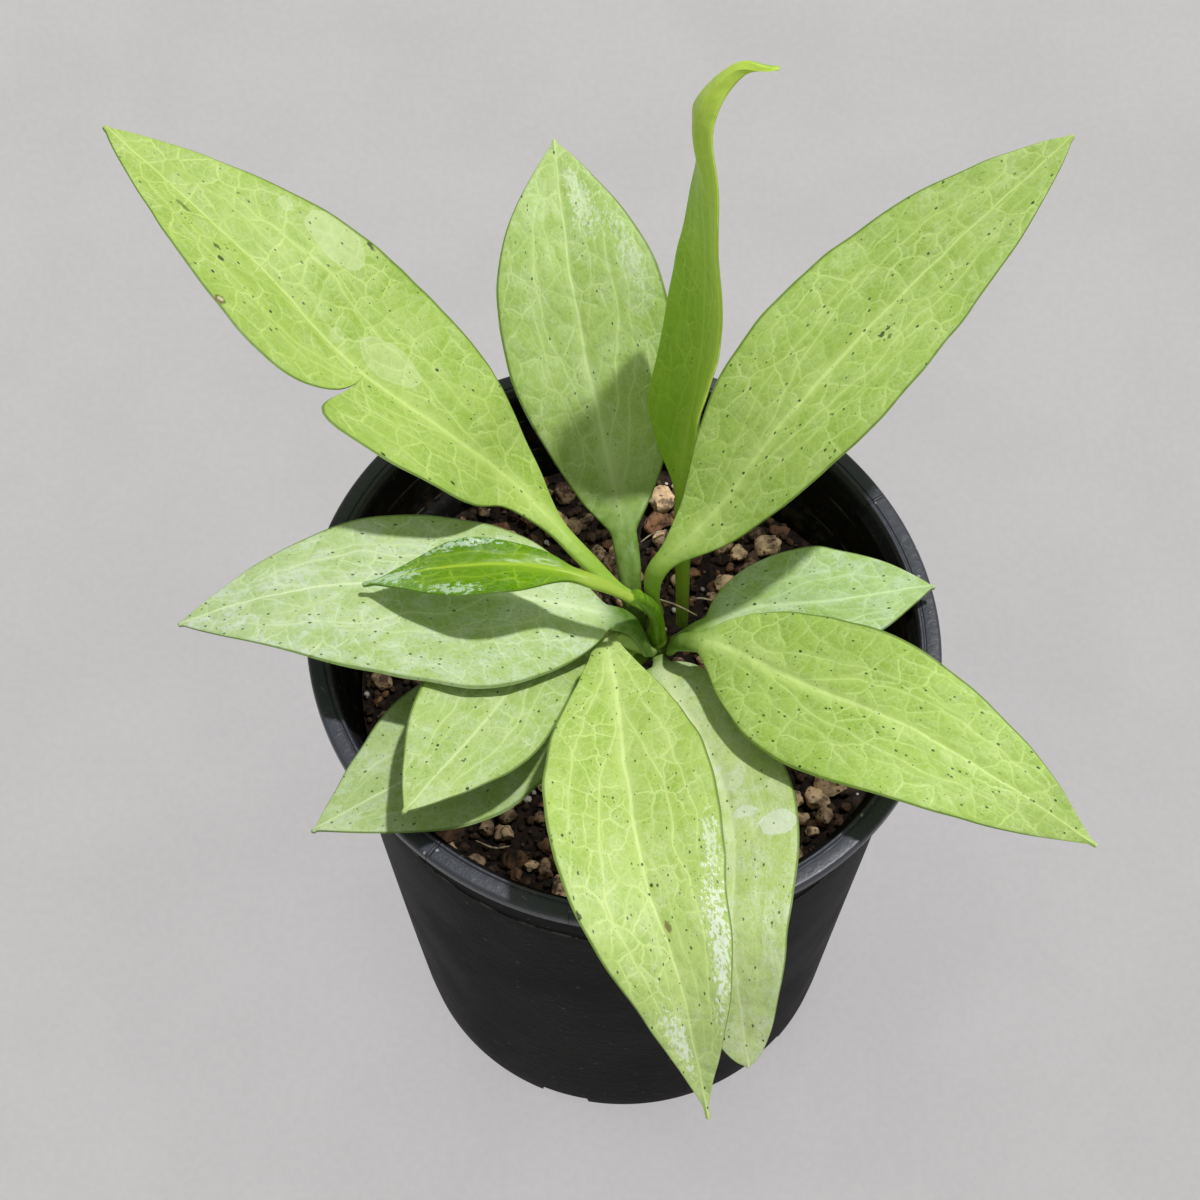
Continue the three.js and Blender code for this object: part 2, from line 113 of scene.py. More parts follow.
@dataclass(frozen=True)
class Route:
    """A smooth route through a few points, in millimetres."""

    points: tuple[Point, ...]
    steps_between: int = 60

    def sampled(self, count: int) -> tuple[Array, float]:
        """Points evenly spaced along the route.

        Args:
            count: How many points.

        Returns:
            The points as rows, and the route's length.
        """
        known = np.array(self.points, float)
        ends = [2 * known[0] - known[1], *known, 2 * known[-1] - known[-2]]
        pieces = [self._piece(ends[i : i + 4]) for i in range(len(known) - 1)]
        fine = np.concatenate([*pieces, known[-1:]])
        steps = np.linalg.norm(np.diff(fine, axis=0), axis=1)
        length = np.concatenate([[0.0], np.cumsum(steps)])
        wanted = np.linspace(0.0, length[-1], count)
        return read_off(wanted, length, fine), length[-1]

    def _piece(self, around: list[Array]) -> Array:
        """Points between the second and third of four points, on a centripetal curve.

        Args:
            around: Four neighbouring points.

        Returns:
            The points as rows, without the last.
        """
        p0, p1, p2, p3 = around
        gaps = [max(math.sqrt(np.linalg.norm(b - a)), 1e-4) for a, b in ((p0, p1), (p1, p2), (p2, p3))]
        first, middle, last = gaps
        leave = (p1 - p0) / first - (p2 - p0) / (first + middle) + (p2 - p1) / middle
        enter = (p2 - p1) / middle - (p3 - p1) / (middle + last) + (p3 - p2) / last
        leave, enter = leave * middle, enter * middle
        t = np.linspace(0.0, 1.0, self.steps_between, endpoint=False)[:, None]
        square = -3 * p1 + 3 * p2 - 2 * leave - enter
        cube = 2 * p1 - 2 * p2 + leave + enter
        return p1 + leave * t + square * t**2 + cube * t**3


# --- shader wiring ---


class Wiring:
    """Adds nodes to one node tree and joins them up."""

    def __init__(self, tree: bpy.types.NodeTree) -> None:
        """Keeps the tree that the nodes go into."""
        self.tree = tree

    def node(self, kind: str, **settings: object) -> Node:
        """Adds a shader node.

        Args:
            kind: The node's class name after ShaderNode.
            **settings: Properties to set on it.

        Returns:
            The new node.
        """
        made = self.tree.nodes.new("ShaderNode" + kind)
        for name, value in settings.items():
            setattr(made, name, value)
        return made

    def feed(self, socket: Socket, value: Value | None) -> None:
        """Gives an input socket a link or a plain value.

        Args:
            socket: The input.
            value: Another node's output, a number, a colour, or None to leave it alone.
        """
        if isinstance(value, bpy.types.NodeSocket):
            self.tree.links.new(value, socket)
        elif isinstance(value, tuple) and socket.type == "RGBA":
            socket.default_value = (*value, 1.0)
        elif value is not None:
            socket.default_value = value

    def math(self, operation: str, first: Value, second: Value | None = None, clamp: bool = False) -> Socket:
        """Adds a Math node.

        Args:
            operation: The node's operation.
            first: The first number.
            second: The second number, where the operation has one.
            clamp: Whether the result is kept from 0 to 1.

        Returns:
            The result.
        """
        made = self.node("Math", operation=operation, use_clamp=clamp)
        self.feed(made.inputs[0], first)
        self.feed(made.inputs[1], second)
        return made.outputs[0]

    def times(self, first: Value, second: Value) -> Socket:
        """The product of two numbers."""
        return self.math("MULTIPLY", first, second)

    def plus(self, first: Value, second: Value) -> Socket:
        """The sum of two numbers."""
        return self.math("ADD", first, second)

    def minus(self, first: Value, second: Value) -> Socket:
        """The first number less the second."""
        return self.math("SUBTRACT", first, second)

    def over(self, first: Value, second: Value) -> Socket:
        """The first number divided by the second."""
        return self.math("DIVIDE", first, second)

    def larger(self, first: Value, second: Value) -> Socket:
        """The larger of two numbers."""
        return self.math("MAXIMUM", first, second)

    def parts(self, vector: Socket, kind: str = "XYZ") -> bpy.types.NodeOutputs:
        """The three numbers in a vector or a colour.

        Args:
            vector: The vector or colour.
            kind: XYZ, or Color.

        Returns:
            The numbers.
        """
        made = self.node("Separate" + kind)
        self.feed(made.inputs[0], vector)
        return made.outputs

    def vector(self, operation: str, first: Value, second: Value | None = None) -> Socket:
        """Adds a Vector Math node.

        Args:
            operation: The node's operation.
            first: The first vector.
            second: The second vector, or the factor of SCALE.

        Returns:
            The vector result, or the number where the operation gives one.
        """
        made = self.node("VectorMath", operation=operation)
        self.feed(made.inputs[0], first)
        self.feed(made.inputs["Scale" if operation == "SCALE" else 1], second)
        return made.outputs["Value" if operation in ("LENGTH", "DOT_PRODUCT") else "Vector"]

    def step(self, value: Value, low: Value, high: Value, start: float = 0.0, end: float = 1.0) -> Socket:
        """Maps a number smoothly from one range to another.

        Args:
            value: The number.
            low: Where the rise starts.
            high: Where it ends.
            start: The result at low.
            end: The result at high.

        Returns:
            The mapped number.
        """
        made = self.node("MapRange", interpolation_type="SMOOTHSTEP")
        for index, given in enumerate((value, low, high, start, end)):
            self.feed(made.inputs[index], given)
        return made.outputs[0]

    def mix(self, factor: Value, first: Value, second: Value, blend: str = "MIX") -> Socket:
        """Mixes two colours.

        Args:
            factor: How much of the second, from 0 to 1.
            first: The first colour.
            second: The second colour.
            blend: The blend type.

        Returns:
            The mixed colour.
        """
        made = self.node("Mix", data_type="RGBA", blend_type=blend)
        self.feed(made.inputs[0], factor)
        self.feed(made.inputs[6], first)
        self.feed(made.inputs[7], second)
        return made.outputs[2]

    def noise(self, place: Socket, scale: Value, detail: float = 2.0, roughness: float = 0.5) -> Socket:
        """Smooth noise from 0 to 1.

        Args:
            place: Where, as a vector.
            scale: Swells for each unit of place.
            detail: How many finer layers.
            roughness: How strong the finer layers are.

        Returns:
            The noise.
        """
        made = self.node("TexNoise")
        self.feed(made.inputs["Vector"], place)
        self.feed(made.inputs["Scale"], scale)
        made.inputs["Detail"].default_value = detail
        made.inputs["Roughness"].default_value = roughness
        return made.outputs["Fac"]

    def cells(self, place: Socket, dimensions: str = "3D", feature: str = "F1") -> bpy.types.NodeOutputs:
        """Loose cells about one unit across.

        Args:
            place: Where, as a vector.
            dimensions: How many of the vector's numbers count.
            feature: What Distance gives.

        Returns:
            The outputs, with Distance and the cell's own Color.
        """
        made = self.node("TexVoronoi", voronoi_dimensions=dimensions, feature=feature)
        self.feed(made.inputs["Vector"], place)
        made.inputs["Scale"].default_value = 1.0
        return made.outputs

    def joined(self, *numbers: Value) -> Socket:
        """A vector of three numbers.

        Args:
            *numbers: The numbers.

        Returns:
            The vector.
        """
        made = self.node("CombineXYZ")
        for socket, number in zip(made.inputs, numbers):
            self.feed(socket, number)
        return made.outputs[0]

    def shaken(self, place: Socket, scale: float, reach: Value) -> Socket:
        """A place moved about by noise, so that lines drawn on it waver.

        Args:
            place: The place.
            scale: Swells for each unit of place.
            reach: How far it moves, in the place's unit.

        Returns:
            The moved place.
        """
        made = self.node("TexNoise")
        self.feed(made.inputs["Vector"], place)
        made.inputs["Scale"].default_value = scale
        made.inputs["Detail"].default_value = 2.0
        centred = self.vector("SUBTRACT", made.outputs["Color"], (0.5, 0.5, 0.5))
        return self.vector("ADD", place, self.vector("SCALE", centred, reach))

    def away(self, place: Socket, centre: Socket, reach: Socket) -> Socket:
        """The distance from a centre on the leaf, 1 at the reach along and across."""
        apart = self.vector("DIVIDE", self.vector("SUBTRACT", place, centre), reach)
        return self.vector("LENGTH", self.vector("MULTIPLY", apart, (1.0, 1.0, 0.0)))

    def bump(self, height: Socket, distance: float, under: Socket | None = None) -> Socket:
        """A Bump node.

        Args:
            height: The height, from 0 to 1.
            distance: The relief at height 1, in metres.
            under: A normal to build on.

        Returns:
            The normal.
        """
        made = self.node("Bump")
        made.inputs["Strength"].default_value = 1.0
        made.inputs["Distance"].default_value = distance
        self.feed(made.inputs["Height"], height)
        self.feed(made.inputs["Normal"], under)
        return made.outputs["Normal"]


# --- effects shared by several finishes ---


class Kind(Enum):
    """What an effect's socket carries."""

    NUMBER = "NodeSocketFloat"
    VECTOR = "NodeSocketVector"


class Effect:
    """A shader node group, built once and placed in each material with its own values."""

    title: str = ""
    takes: dict[str, Kind] = {}
    gives: dict[str, Kind] = {}

    def draw(self, w: Wiring, given: Sockets) -> Sockets:
        """Draws the group's inside.

        Args:
            w: The group's wiring.
            given: Its inputs by name.

        Returns:
            Its outputs by name.
        """
        raise NotImplementedError

    def tree(self) -> bpy.types.NodeTree:
        """The group, made the first time that it is asked for."""
        known = bpy.data.node_groups.get(self.title)
        if known:
            return known
        made = bpy.data.node_groups.new(self.title, "ShaderNodeTree")
        for name, kind in self.takes.items():
            made.interface.new_socket(name, in_out="INPUT", socket_type=kind.value)
        for name, kind in self.gives.items():
            made.interface.new_socket(name, in_out="OUTPUT", socket_type=kind.value)
        entry = made.nodes.new("NodeGroupInput")
        leave = made.nodes.new("NodeGroupOutput")
        given = {name: entry.outputs[name] for name in self.takes}
        for name, socket in self.draw(Wiring(made), given).items():
            made.links.new(socket, leave.inputs[name])
        return made

    def place(self, w: Wiring, *values: Value) -> Sockets:
        """Places the group in a material.

        Args:
            w: The material's wiring.
            *values: A value or link for each input, in the order of takes.

        Returns:
            The placed group's outputs by name.
        """
        made = w.node("Group", node_tree=self.tree())
        for name, value in zip(self.takes, values):
            w.feed(made.inputs[name], value)
        return {name: made.outputs[name] for name in self.gives}

    def mask(self, w: Wiring, *values: Value) -> Socket:
        """Places the group, and gives the first of its outputs alone."""
        return next(iter(self.place(w, *values).values()))


class Specks(Effect):
    """Small round spots, one in some of the cells of a loose grid."""

    title = "specks"
    takes = {"Place": Kind.VECTOR, "Cell": Kind.NUMBER, "Size": Kind.NUMBER, "Share": Kind.NUMBER}
    gives = {"Mask": Kind.NUMBER}

    def draw(self, w: Wiring, given: Sockets) -> Sockets:
        """Cells nearer than the size to their centre, where the cell's own draw is under the share.

        Args:
            w: The group's wiring.
            given: Its inputs.

        Returns:
            Its outputs.
        """
        wavy = w.shaken(given["Place"], 2.5, 0.25)
        cells = w.cells(w.vector("SCALE", wavy, w.over(1.0, given["Cell"])))
        draws = w.parts(cells["Color"], "Color")
        reach = w.over(given["Size"], given["Cell"])
        reach = w.times(reach, w.step(draws[1], 0.0, 1.0, 0.45, 1.25))
        near = w.step(cells["Distance"], w.times(reach, 0.6), reach, 1.0, 0.0)
        kept = w.math("LESS_THAN", draws[0], given["Share"])
        return {"Mask": w.times(near, kept)}


class Clouds(Effect):
    """Soft patches of noise."""

    title = "clouds"
    takes = {"Place": Kind.VECTOR, "Size": Kind.NUMBER, "Low": Kind.NUMBER, "High": Kind.NUMBER}
    gives = {"Mask": Kind.NUMBER}

    def draw(self, w: Wiring, given: Sockets) -> Sockets:
        """Noise at the size, raised smoothly between low and high.

        Args:
            w: The group's wiring.
            given: Its inputs.

        Returns:
            Its outputs.
        """
        fac = w.noise(given["Place"], w.over(1.0, given["Size"]), detail=3.0, roughness=0.55)
        return {"Mask": w.step(fac, given["Low"], given["High"])}


class VeinNet(Effect):
    """A net of fine veins: the wavering edges of cells stretched along the leaf."""

    title = "vein net"
    takes = {"Place": Kind.VECTOR, "Along": Kind.NUMBER, "Across": Kind.NUMBER, "Width": Kind.NUMBER}
    gives = {"Line": Kind.NUMBER, "Pillow": Kind.NUMBER}

    def draw(self, w: Wiring, given: Sockets) -> Sockets:
        """Line is 1 on the veins. Pillow swells between them.

        Args:
            w: The group's wiring.
            given: Its inputs.

        Returns:
            Its outputs.
        """
        wavy = w.shaken(given["Place"], 0.45, w.times(given["Across"], 0.38))
        size = w.joined(given["Along"], given["Across"], 1.0)
        edge = w.cells(w.vector("DIVIDE", wavy, size), "2D", "DISTANCE_TO_EDGE")["Distance"]
        width = w.over(given["Width"], given["Across"])
        return {
            "Line": w.step(edge, w.times(width, 0.15), width, 1.0, 0.0),
            "Pillow": w.step(edge, 0.0, 0.34),
        }


class VeinLine(Effect):
    """One long vein, from its distance at each place."""

    title = "vein line"
    takes = {"Gap": Kind.NUMBER, "Width": Kind.NUMBER, "Strength": Kind.NUMBER}
    gives = {"Line": Kind.NUMBER, "Glow": Kind.NUMBER}

    def draw(self, w: Wiring, given: Sockets) -> Sockets:
        """Line is 1 on the vein, and Glow fades over three and a half times its width.

        Args:
            w: The group's wiring.
            given: Its inputs.

        Returns:
            Its outputs.
        """
        gap = w.math("ABSOLUTE", given["Gap"])
        line = w.step(gap, w.times(given["Width"], 0.25), given["Width"], 1.0, 0.0)
        glow = w.step(gap, 0.0, w.times(given["Width"], 3.5), 1.0, 0.0)
        return {
            "Line": w.times(line, given["Strength"]),
            "Glow": w.times(glow, given["Strength"]),
        }


class WaterStain(Effect):
    """A dried drop: a pale film with a brighter edge."""

    title = "water stain"
    takes = {"Place": Kind.VECTOR, "Centre": Kind.VECTOR, "Reach": Kind.VECTOR}
    gives = {"Film": Kind.NUMBER, "Edge": Kind.NUMBER}

    def draw(self, w: Wiring, given: Sockets) -> Sockets:
        """Film fills the drop's wavering outline, and Edge runs round it.

        Args:
            w: The group's wiring.
            given: Its inputs.

        Returns:
            Its outputs.
        """
        away = w.away(w.shaken(given["Place"], 0.36, 1.9), given["Centre"], given["Reach"])
        film = w.step(away, 0.94, 1.0, 1.0, 0.0)
        return {"Film": film, "Edge": w.times(w.step(away, 0.84, 0.95), film)}


class Blemish(Effect):
    """A small ragged scar."""

    title = "blemish"
    takes = {"Place": Kind.VECTOR, "Centre": Kind.VECTOR, "Reach": Kind.VECTOR}
    gives = {"Mask": Kind.NUMBER}

    def draw(self, w: Wiring, given: Sockets) -> Sockets:
        """Full in its middle and ragged round its edge.

        Args:
            w: The group's wiring.
            given: Its inputs.

        Returns:
            Its outputs.
        """
        away = w.away(w.shaken(given["Place"], 1.6, 0.9), given["Centre"], given["Reach"])
        return {"Mask": w.step(away, 0.65, 1.0, 1.0, 0.0)}


class Threads(Effect):
    """Fine wandering pale threads."""

    title = "threads"
    takes = {"Place": Kind.VECTOR, "Size": Kind.NUMBER, "Width": Kind.NUMBER}
    gives = {"Mask": Kind.NUMBER}

    def draw(self, w: Wiring, given: Sockets) -> Sockets:
        """Where two layers of noise cross their middle, each a thin line.

        Args:
            w: The group's wiring.
            given: Its inputs.

        Returns:
            Its outputs.
        """
        total: Value = 0.0
        for stretch in ((1.0, 1.0, 1.0), (0.6, 0.75, 1.0)):
            place = w.vector("MULTIPLY", given["Place"], stretch)
            fac = w.noise(place, w.over(1.0, given["Size"]), detail=1.0)
            away = w.math("ABSOLUTE", w.minus(fac, 0.5))
            line = w.step(away, 0.0, given["Width"], 1.0, 0.0)
            total = w.larger(total, line)
        return {"Mask": total}


class HighlightStreaks(Effect):
    """Painted highlight: bright broken streaks round a centre."""

    title = "highlight_paint"
    takes = {"Place": Kind.VECTOR, "Share": Kind.VECTOR, "Centre": Kind.VECTOR, "Reach": Kind.VECTOR}
    gives = {"Mask": Kind.NUMBER}

    def draw(self, w: Wiring, given: Sockets) -> Sockets:
        """Noise patches that thin out away from the centre.

        Args:
            w: The group's wiring.
            given: Its inputs.

        Returns:
            Its outputs.
        """
        apart = w.vector("DIVIDE", w.vector("SUBTRACT", given["Share"], given["Centre"]), given["Reach"])
        near = w.step(w.vector("LENGTH", apart), 0.1, 1.0, 1.0, 0.0)
        long = w.vector("MULTIPLY", given["Place"], (0.8, 1.0, 1.0))
        fac = w.noise(long, 1.25, detail=4.0, roughness=0.72)
        edge = w.minus(0.67, w.times(near, 0.24))
        return {"Mask": w.times(w.step(fac, edge, w.plus(edge, 0.05)), w.step(near, 0.0, 0.3))}


class Grain(Effect):
    """A fine uneven surface, as a height."""

    title = "grain"
    takes = {"Place": Kind.VECTOR, "Size": Kind.NUMBER}
    gives = {"Height": Kind.NUMBER}

    def draw(self, w: Wiring, given: Sockets) -> Sockets:
        """Rough noise with many layers.

        Args:
            w: The group's wiring.
            given: Its inputs.

        Returns:
            Its outputs.
        """
        scale = w.over(1.0, given["Size"])
        return {"Height": w.noise(given["Place"], scale, detail=5.0, roughness=0.65)}


class Scratches(Effect):
    """Short thin scratches that lie in all directions."""

    title = "scratches"
    takes = {"Place": Kind.VECTOR, "Length": Kind.NUMBER, "Width": Kind.NUMBER, "Share": Kind.NUMBER}
    gives = {"Mask": Kind.NUMBER}
    turns = (0.35, 1.45, 2.6)

    def draw(self, w: Wiring, given: Sockets) -> Sockets:
        """Three sets of stretched specks, each turned its own way.

        Args:
            w: The group's wiring.
            given: Its inputs.

        Returns:
            Its outputs.
        """
        total: Value = 0.0
        for turn in self.turns:
            turned = w.node("VectorRotate", rotation_type="EULER_XYZ")
            w.feed(turned.inputs["Vector"], given["Place"])
            turned.inputs["Rotation"].default_value = (turn, turn * 0.7, turn * 1.9)
            size = w.joined(given["Length"], given["Width"], w.times(given["Length"], 0.5))
            cells = w.cells(w.vector("DIVIDE", turned.outputs[0], size))
            near = w.step(cells["Distance"], 0.12, 0.22, 1.0, 0.0)
            kept = w.math("LESS_THAN", w.parts(cells["Color"], "Color")[0], given["Share"])
            total = w.larger(total, w.times(near, kept))
        return {"Mask": total}


# --- finishes ---


class Finish:
    """A material with its own colours, built by its dress method."""

    slot: str = ""

    def material(self, name: str) -> bpy.types.Material:
        """A new material dressed by this finish.

        Args:
            name: The material's name.

        Returns:
            The material.
        """
        made = bpy.data.materials.new(name)
        made.use_nodes = True
        tree = made.node_tree
        tree.nodes.clear()
        w = Wiring(tree)
        shader = w.node("BsdfPrincipled")
        out = w.node("OutputMaterial")
        tree.links.new(shader.outputs[0], out.inputs["Surface"])
        for title, value in self.dress(w).items():
            w.feed(shader.inputs[title], value)
        return made

    def dress(self, w: Wiring) -> Inputs:
        """Draws the finish.

        Args:
            w: The material's wiring.

        Returns:
            A link or a plain value for the shader's inputs, by name.
        """
        raise NotImplementedError

    @staticmethod
    def millimetres(w: Wiring) -> Socket:
        """The place on the piece, in millimetres."""
        return w.vector("SCALE", w.node("TexCoord").outputs["Object"], 1.0 / MM)

    @staticmethod
    def attribute(w: Wiring, name: str) -> Socket:
        """A vector kept at the mesh's points under a name."""
        return w.node("Attribute", attribute_name=name).outputs["Vector"]


@dataclass(frozen=True)
class Stain:
    """A dried drop on a leaf: its place as shares of length and half width, its reach in mm."""

    along: float
    across: float
    reach: Reach
    film: float = 0.35


@dataclass(frozen=True)
class Scar:
    """A small brown or dark scar on a leaf, placed as a dried drop is."""

    along: float
    across: float
    reach: Reach
    colour: Colour = (0.13, 0.08, 0.03)
    strength: float = 0.8


@dataclass(frozen=True)
class PaintedGlint:
    """A painted highlight in bright broken streaks, where the light glances off the leaf: its place and
    reach as shares of the leaf.
    """

    along: float
    across: float
    reach: Reach
    strength: float = 0.7


@dataclass(frozen=True)
class LeafFinish(Finish):
    """The skin of a leaf, which reads its place and veins from the mesh."""

    deep: Colour = (0.31, 0.48, 0.072)
    pale: Colour = (0.46, 0.63, 0.175)
    vein: Colour = (0.68, 0.84, 0.36)
    silver: Colour = (0.62, 0.74, 0.46)
    under: Colour = (0.3, 0.44, 0.14)
    speck: Colour = (0.03, 0.06, 0.014)
    stalk: Colour = (0.27, 0.46, 0.03)
    # The colour of the painted highlights.
    highlight_paint: Colour = (0.86, 0.93, 0.8)
    tone: Colour = (1.0, 1.0, 1.0)
    edge: Colour = (0.1, 0.17, 0.02)
    # The colour of the painted sunlight on the margins and tip.
    lit: Colour = (0.6, 0.78, 0.12)
    lit_margins: tuple[float, float] = (0.0, 0.0)
    lit_tip: float = 0.0
    # How far the stalk colour runs onto the blade, which on some leaves paints shade over the blade's base.
    stalk_and_shade_reach: float = 0.12
    stalk_share: float = 0.85
    silvering: float = 0.3
    # How much the silvery film thickens towards the tip, where it also paints the broad sheen.
    tip_silver_and_sheen: float = 0.25
    speckling: float = 0.4
    netting: float = 0.5
    midrib: float = 0.8
    roughness: float = 0.42
    sheen: float = 0.3
    gloss: float = 0.0
    stains: tuple[Stain, ...] = ()
    # Where the painted highlights lie.
    painted_glints: tuple[PaintedGlint, ...] = ()
    centres: tuple[Point, ...] = ()
    scars: tuple[Scar, ...] = ()
    scar_centres: tuple[Point, ...] = ()
    slot: str = "leaf"

    def toned(self, colour: Colour) -> Colour:
        """One of the finish's colours in this leaf's own tone."""
        return tuple(min(part * tone, 1.0) for part, tone in zip(colour, self.tone))

    def dress(self, w: Wiring) -> Inputs:
        """Blade, silvery film, veins, dried drops, specks, painted highlights and painted light, from the
        broad to the fine.

        Args:
            w: The material's wiring.

        Returns:
            The shader's inputs by name.
        """
        place = self.attribute(w, "leaf_place")
        share = self.attribute(w, "leaf_share")
        along, across, face = w.parts(share)
        off_rib = w.math("ABSOLUTE", across)

        broad = Clouds().mask(w, place, 10.0, 0.34, 0.68)
        small = Clouds().mask(w, place, 2.2, 0.3, 0.72)
        minute = Clouds().mask(w, place, 0.55, 0.3, 0.7)
        tone = w.plus(w.times(broad, 0.5), w.times(small, 0.25))
        tone = w.plus(tone, w.times(minute, 0.25))
        colour = w.mix(tone, self.toned(self.deep), self.toned(self.pale))
        colour, film = self._silvered(w, place, along, colour)
        lines, relief = self._veins(w, place, along, off_rib)
        colour = w.mix(lines, colour, self.toned(self.vein))
        colour, edges = self._stained(w, place, colour)
        colour = self._specked(w, place, along, colour)
        # Painted highlights: pale streaks where the light glances off the leaf.
        colour, painted_glint_mask = self._painted_highlights(w, place, share, colour)
        # Painted sunlight on the margins and tip.
        colour = self._lit(w, along, across, colour)
        # A thin line along the margins in the edge colour: partly the margin's own darker green, partly
        # painted shade on its rounded edge; on the curled leaf a pale line of painted sunlight.
        margin = w.times(w.step(off_rib, 0.955, 0.985, 0.0, 0.8), w.step(along, 0.0, 0.06))
        colour = w.mix(margin, colour, self.edge)
        for scar, centre in zip(self.scars, self.scar_centres):
            spot = Blemish().mask(w, place, centre, (*scar.reach, 1.0))
            colour = w.mix(w.times(spot, scar.strength), colour, scar.colour)
        # The stalk colour runs a little way onto the blade: partly the stalk's own green, and where it is
        # dark and runs far, painted shade over the stalk and the blade's base.
        green = w.step(along, -0.04, self.stalk_and_shade_reach, self.stalk_share, 0.0)
        green = w.times(green, w.step(small, 0.0, 1.0, 1.0, 0.85))
        colour = w.mix(green, colour, self.stalk)
        below = w.step(face, -0.5, 0.5, 1.0, 0.0)
        colour = w.mix(w.times(below, 0.75), colour, self.toned(self.under))
        rough = w.plus(self.roughness, w.times(film, 0.12))
        rough = w.plus(rough, w.times(edges, 0.08))
        # Smoother where the painted highlights lie.
        rough = w.minus(rough, w.times(painted_glint_mask, 0.15))
        uneven = Clouds().mask(w, place, 4.0, 0.3, 0.7)
        rough = w.math("ADD", rough, w.times(uneven, 0.07), clamp=True)
        grain = Grain().mask(w, place, 0.6)
        return {
            "Base Color": colour,
            "Roughness": rough,
            "Specular IOR Level": self.sheen,
            "Coat Weight": self.gloss,
            "Coat Roughness": 0.16,
            "Subsurface Weight": 0.15,
            "Subsurface Radius": (0.7, 1.2, 0.15),
            "Subsurface Scale": 0.001,
            "Normal": w.bump(grain, 0.00005, w.bump(relief, 0.0001)),
        }

    def _lit(self, w: Wiring, along: Socket, across: Socket, colour: Socket) -> Socket:
        """Paints sunlight onto the margins and tip: paler, yellower bands where the light falls.

        Args:
            w: The material's wiring.
            along: The share of the blade's length.
            across: The share of the half width, negative on the left.
            colour: The colour so far.

        Returns:
            The new colour.
        """
        for side, amount in zip((-1.0, 1.0), self.lit_margins):
            if amount:
                outer = w.times(across, side)
                band = w.plus(w.step(outer, 0.3, 0.8, 0.0, 0.4 * amount),
                              w.step(outer, 0.84, 0.92, 0.0, 0.6 * amount))
                colour = w.mix(band, colour, self.lit)
        if self.lit_tip:
            colour = w.mix(w.step(along, 0.62, 0.9, 0.0, self.lit_tip), colour, self.lit)
        return colour

    def _silvered(self, w: Wiring, place: Socket, along: Socket, colour: Socket) -> tuple[Socket, Socket]:
        """Adds the silvery film: fine pale threads, thicker in patches and towards the tip, where an even
        pale film also paints the broad sheen.

        Args:
            w: The material's wiring.
            place: The place on the leaf, in millimetres.
            along: The share of the blade's length.
            colour: The colour so far.

        Returns:
            The new colour, and how thick the film is.
        """
        patches = Clouds().mask(w, place, 4.5, 0.36, 0.68)
        threads = Threads().mask(w, place, 1.15, 0.045)
        broken = Clouds().mask(w, place, 1.0, 0.42, 0.6)
        amount = w.plus(self.silvering, w.step(along, 0.4, 1.0, 0.0, self.tip_silver_and_sheen))
        haze = w.times(w.times(patches, amount), w.step(broken, 0.0, 1.0, 0.35, 0.8))
        some = w.step(patches, 0.0, 1.0, 0.3, 0.85)
        marks = w.times(w.times(threads, some), w.step(amount, 0.0, 0.6, 0.25, 0.75))
        film = w.larger(haze, marks)
        # An even pale film towards the tip: partly silvering, partly painted sheen.
        film = w.larger(film, w.step(along, 0.5, 0.95, 0.0, 0.42 * self.tip_silver_and_sheen))
        return w.mix(film, colour, self.toned(self.silver)), film

    def _veins(self, w: Wiring, place: Socket, along: Socket, off_rib: Socket) -> tuple[Socket, Socket]:
        """The midrib, the long side veins and the net between them.

        Args:
            w: The material's wiring.
            place: The place on the leaf, in millimetres.
            along: The share of the blade's length.
            off_rib: The share of the half width, from the rib to the margin.

        Returns:
            How much vein colour there is, and the height between the veins.
        """
        width = w.step(along, 0.0, 0.95, 0.8, 0.24)
        sway = w.minus(w.noise(place, 0.14, detail=1.0), 0.5)
        gap = w.plus(w.parts(place)[2], w.times(sway, 0.8))
        ribbed = VeinLine().place(w, gap, width, 1.0)
        lines = w.times(ribbed["Line"], self.midrib)
        glow = w.times(ribbed["Glow"], w.step(along, 0.0, 0.8, 0.6, 0.2))
        gaps = w.parts(self.attribute(w, "vein_gap"))
        strengths = w.parts(self.attribute(w, "vein_strength"))
        for vein_gap, strength in zip(gaps, strengths):
            gap = w.plus(vein_gap, w.times(sway, 2.4))
            side = VeinLine().place(w, gap, 0.3, strength)
            lines = w.larger(lines, w.times(side["Line"], 0.7))
            glow = w.larger(glow, w.times(side["Glow"], 0.25))
        coarse = VeinNet().place(w, place, 4.8, 3.9, 0.26)
        fine = VeinNet().place(w, place, 1.9, 1.6, 0.16)
        cloudy = Clouds().mask(w, place, 9.0, 0.36, 0.62)
        some = w.step(cloudy, 0.0, 1.0, 0.4, 1.0)
        net = w.times(w.times(coarse["Line"], some), self.netting)
        mesh = w.times(w.times(fine["Line"], some), self.netting * 0.5)
        lines = w.larger(w.larger(lines, net), mesh)
        lines = w.larger(lines, glow)
        blade = w.step(along, -0.05, 0.05, 0.4, 1.0)
        rim = w.step(off_rib, 0.86, 0.97, 1.0, 0.25)
        height = w.times(coarse["Pillow"], w.step(fine["Pillow"], 0.0, 1.0, 0.8, 1.0))
        return w.times(w.times(lines, blade), rim), height

    def _stained(self, w: Wiring, place: Socket, colour: Socket) -> tuple[Socket, Value]:
        """Adds the dried drops.

        Args:
            w: The material's wiring.
            place: The place on the leaf, in millimetres.
            colour: The colour so far.

        Returns:
            The new colour, and the drops' edges.
        """
        edges: Value = 0.0
        for stain, centre in zip(self.stains, self.centres):
            drop = WaterStain().place(w, place, centre, (*stain.reach, 1.0))
            shown = w.times(drop["Film"], stain.film)
            shown = w.larger(shown, w.times(drop["Edge"], min(stain.film * 1.9, 0.9)))
            colour = w.mix(shown, colour, self.toned(self.silver))
            edges = w.larger(edges, drop["Edge"])
        return colour, edges

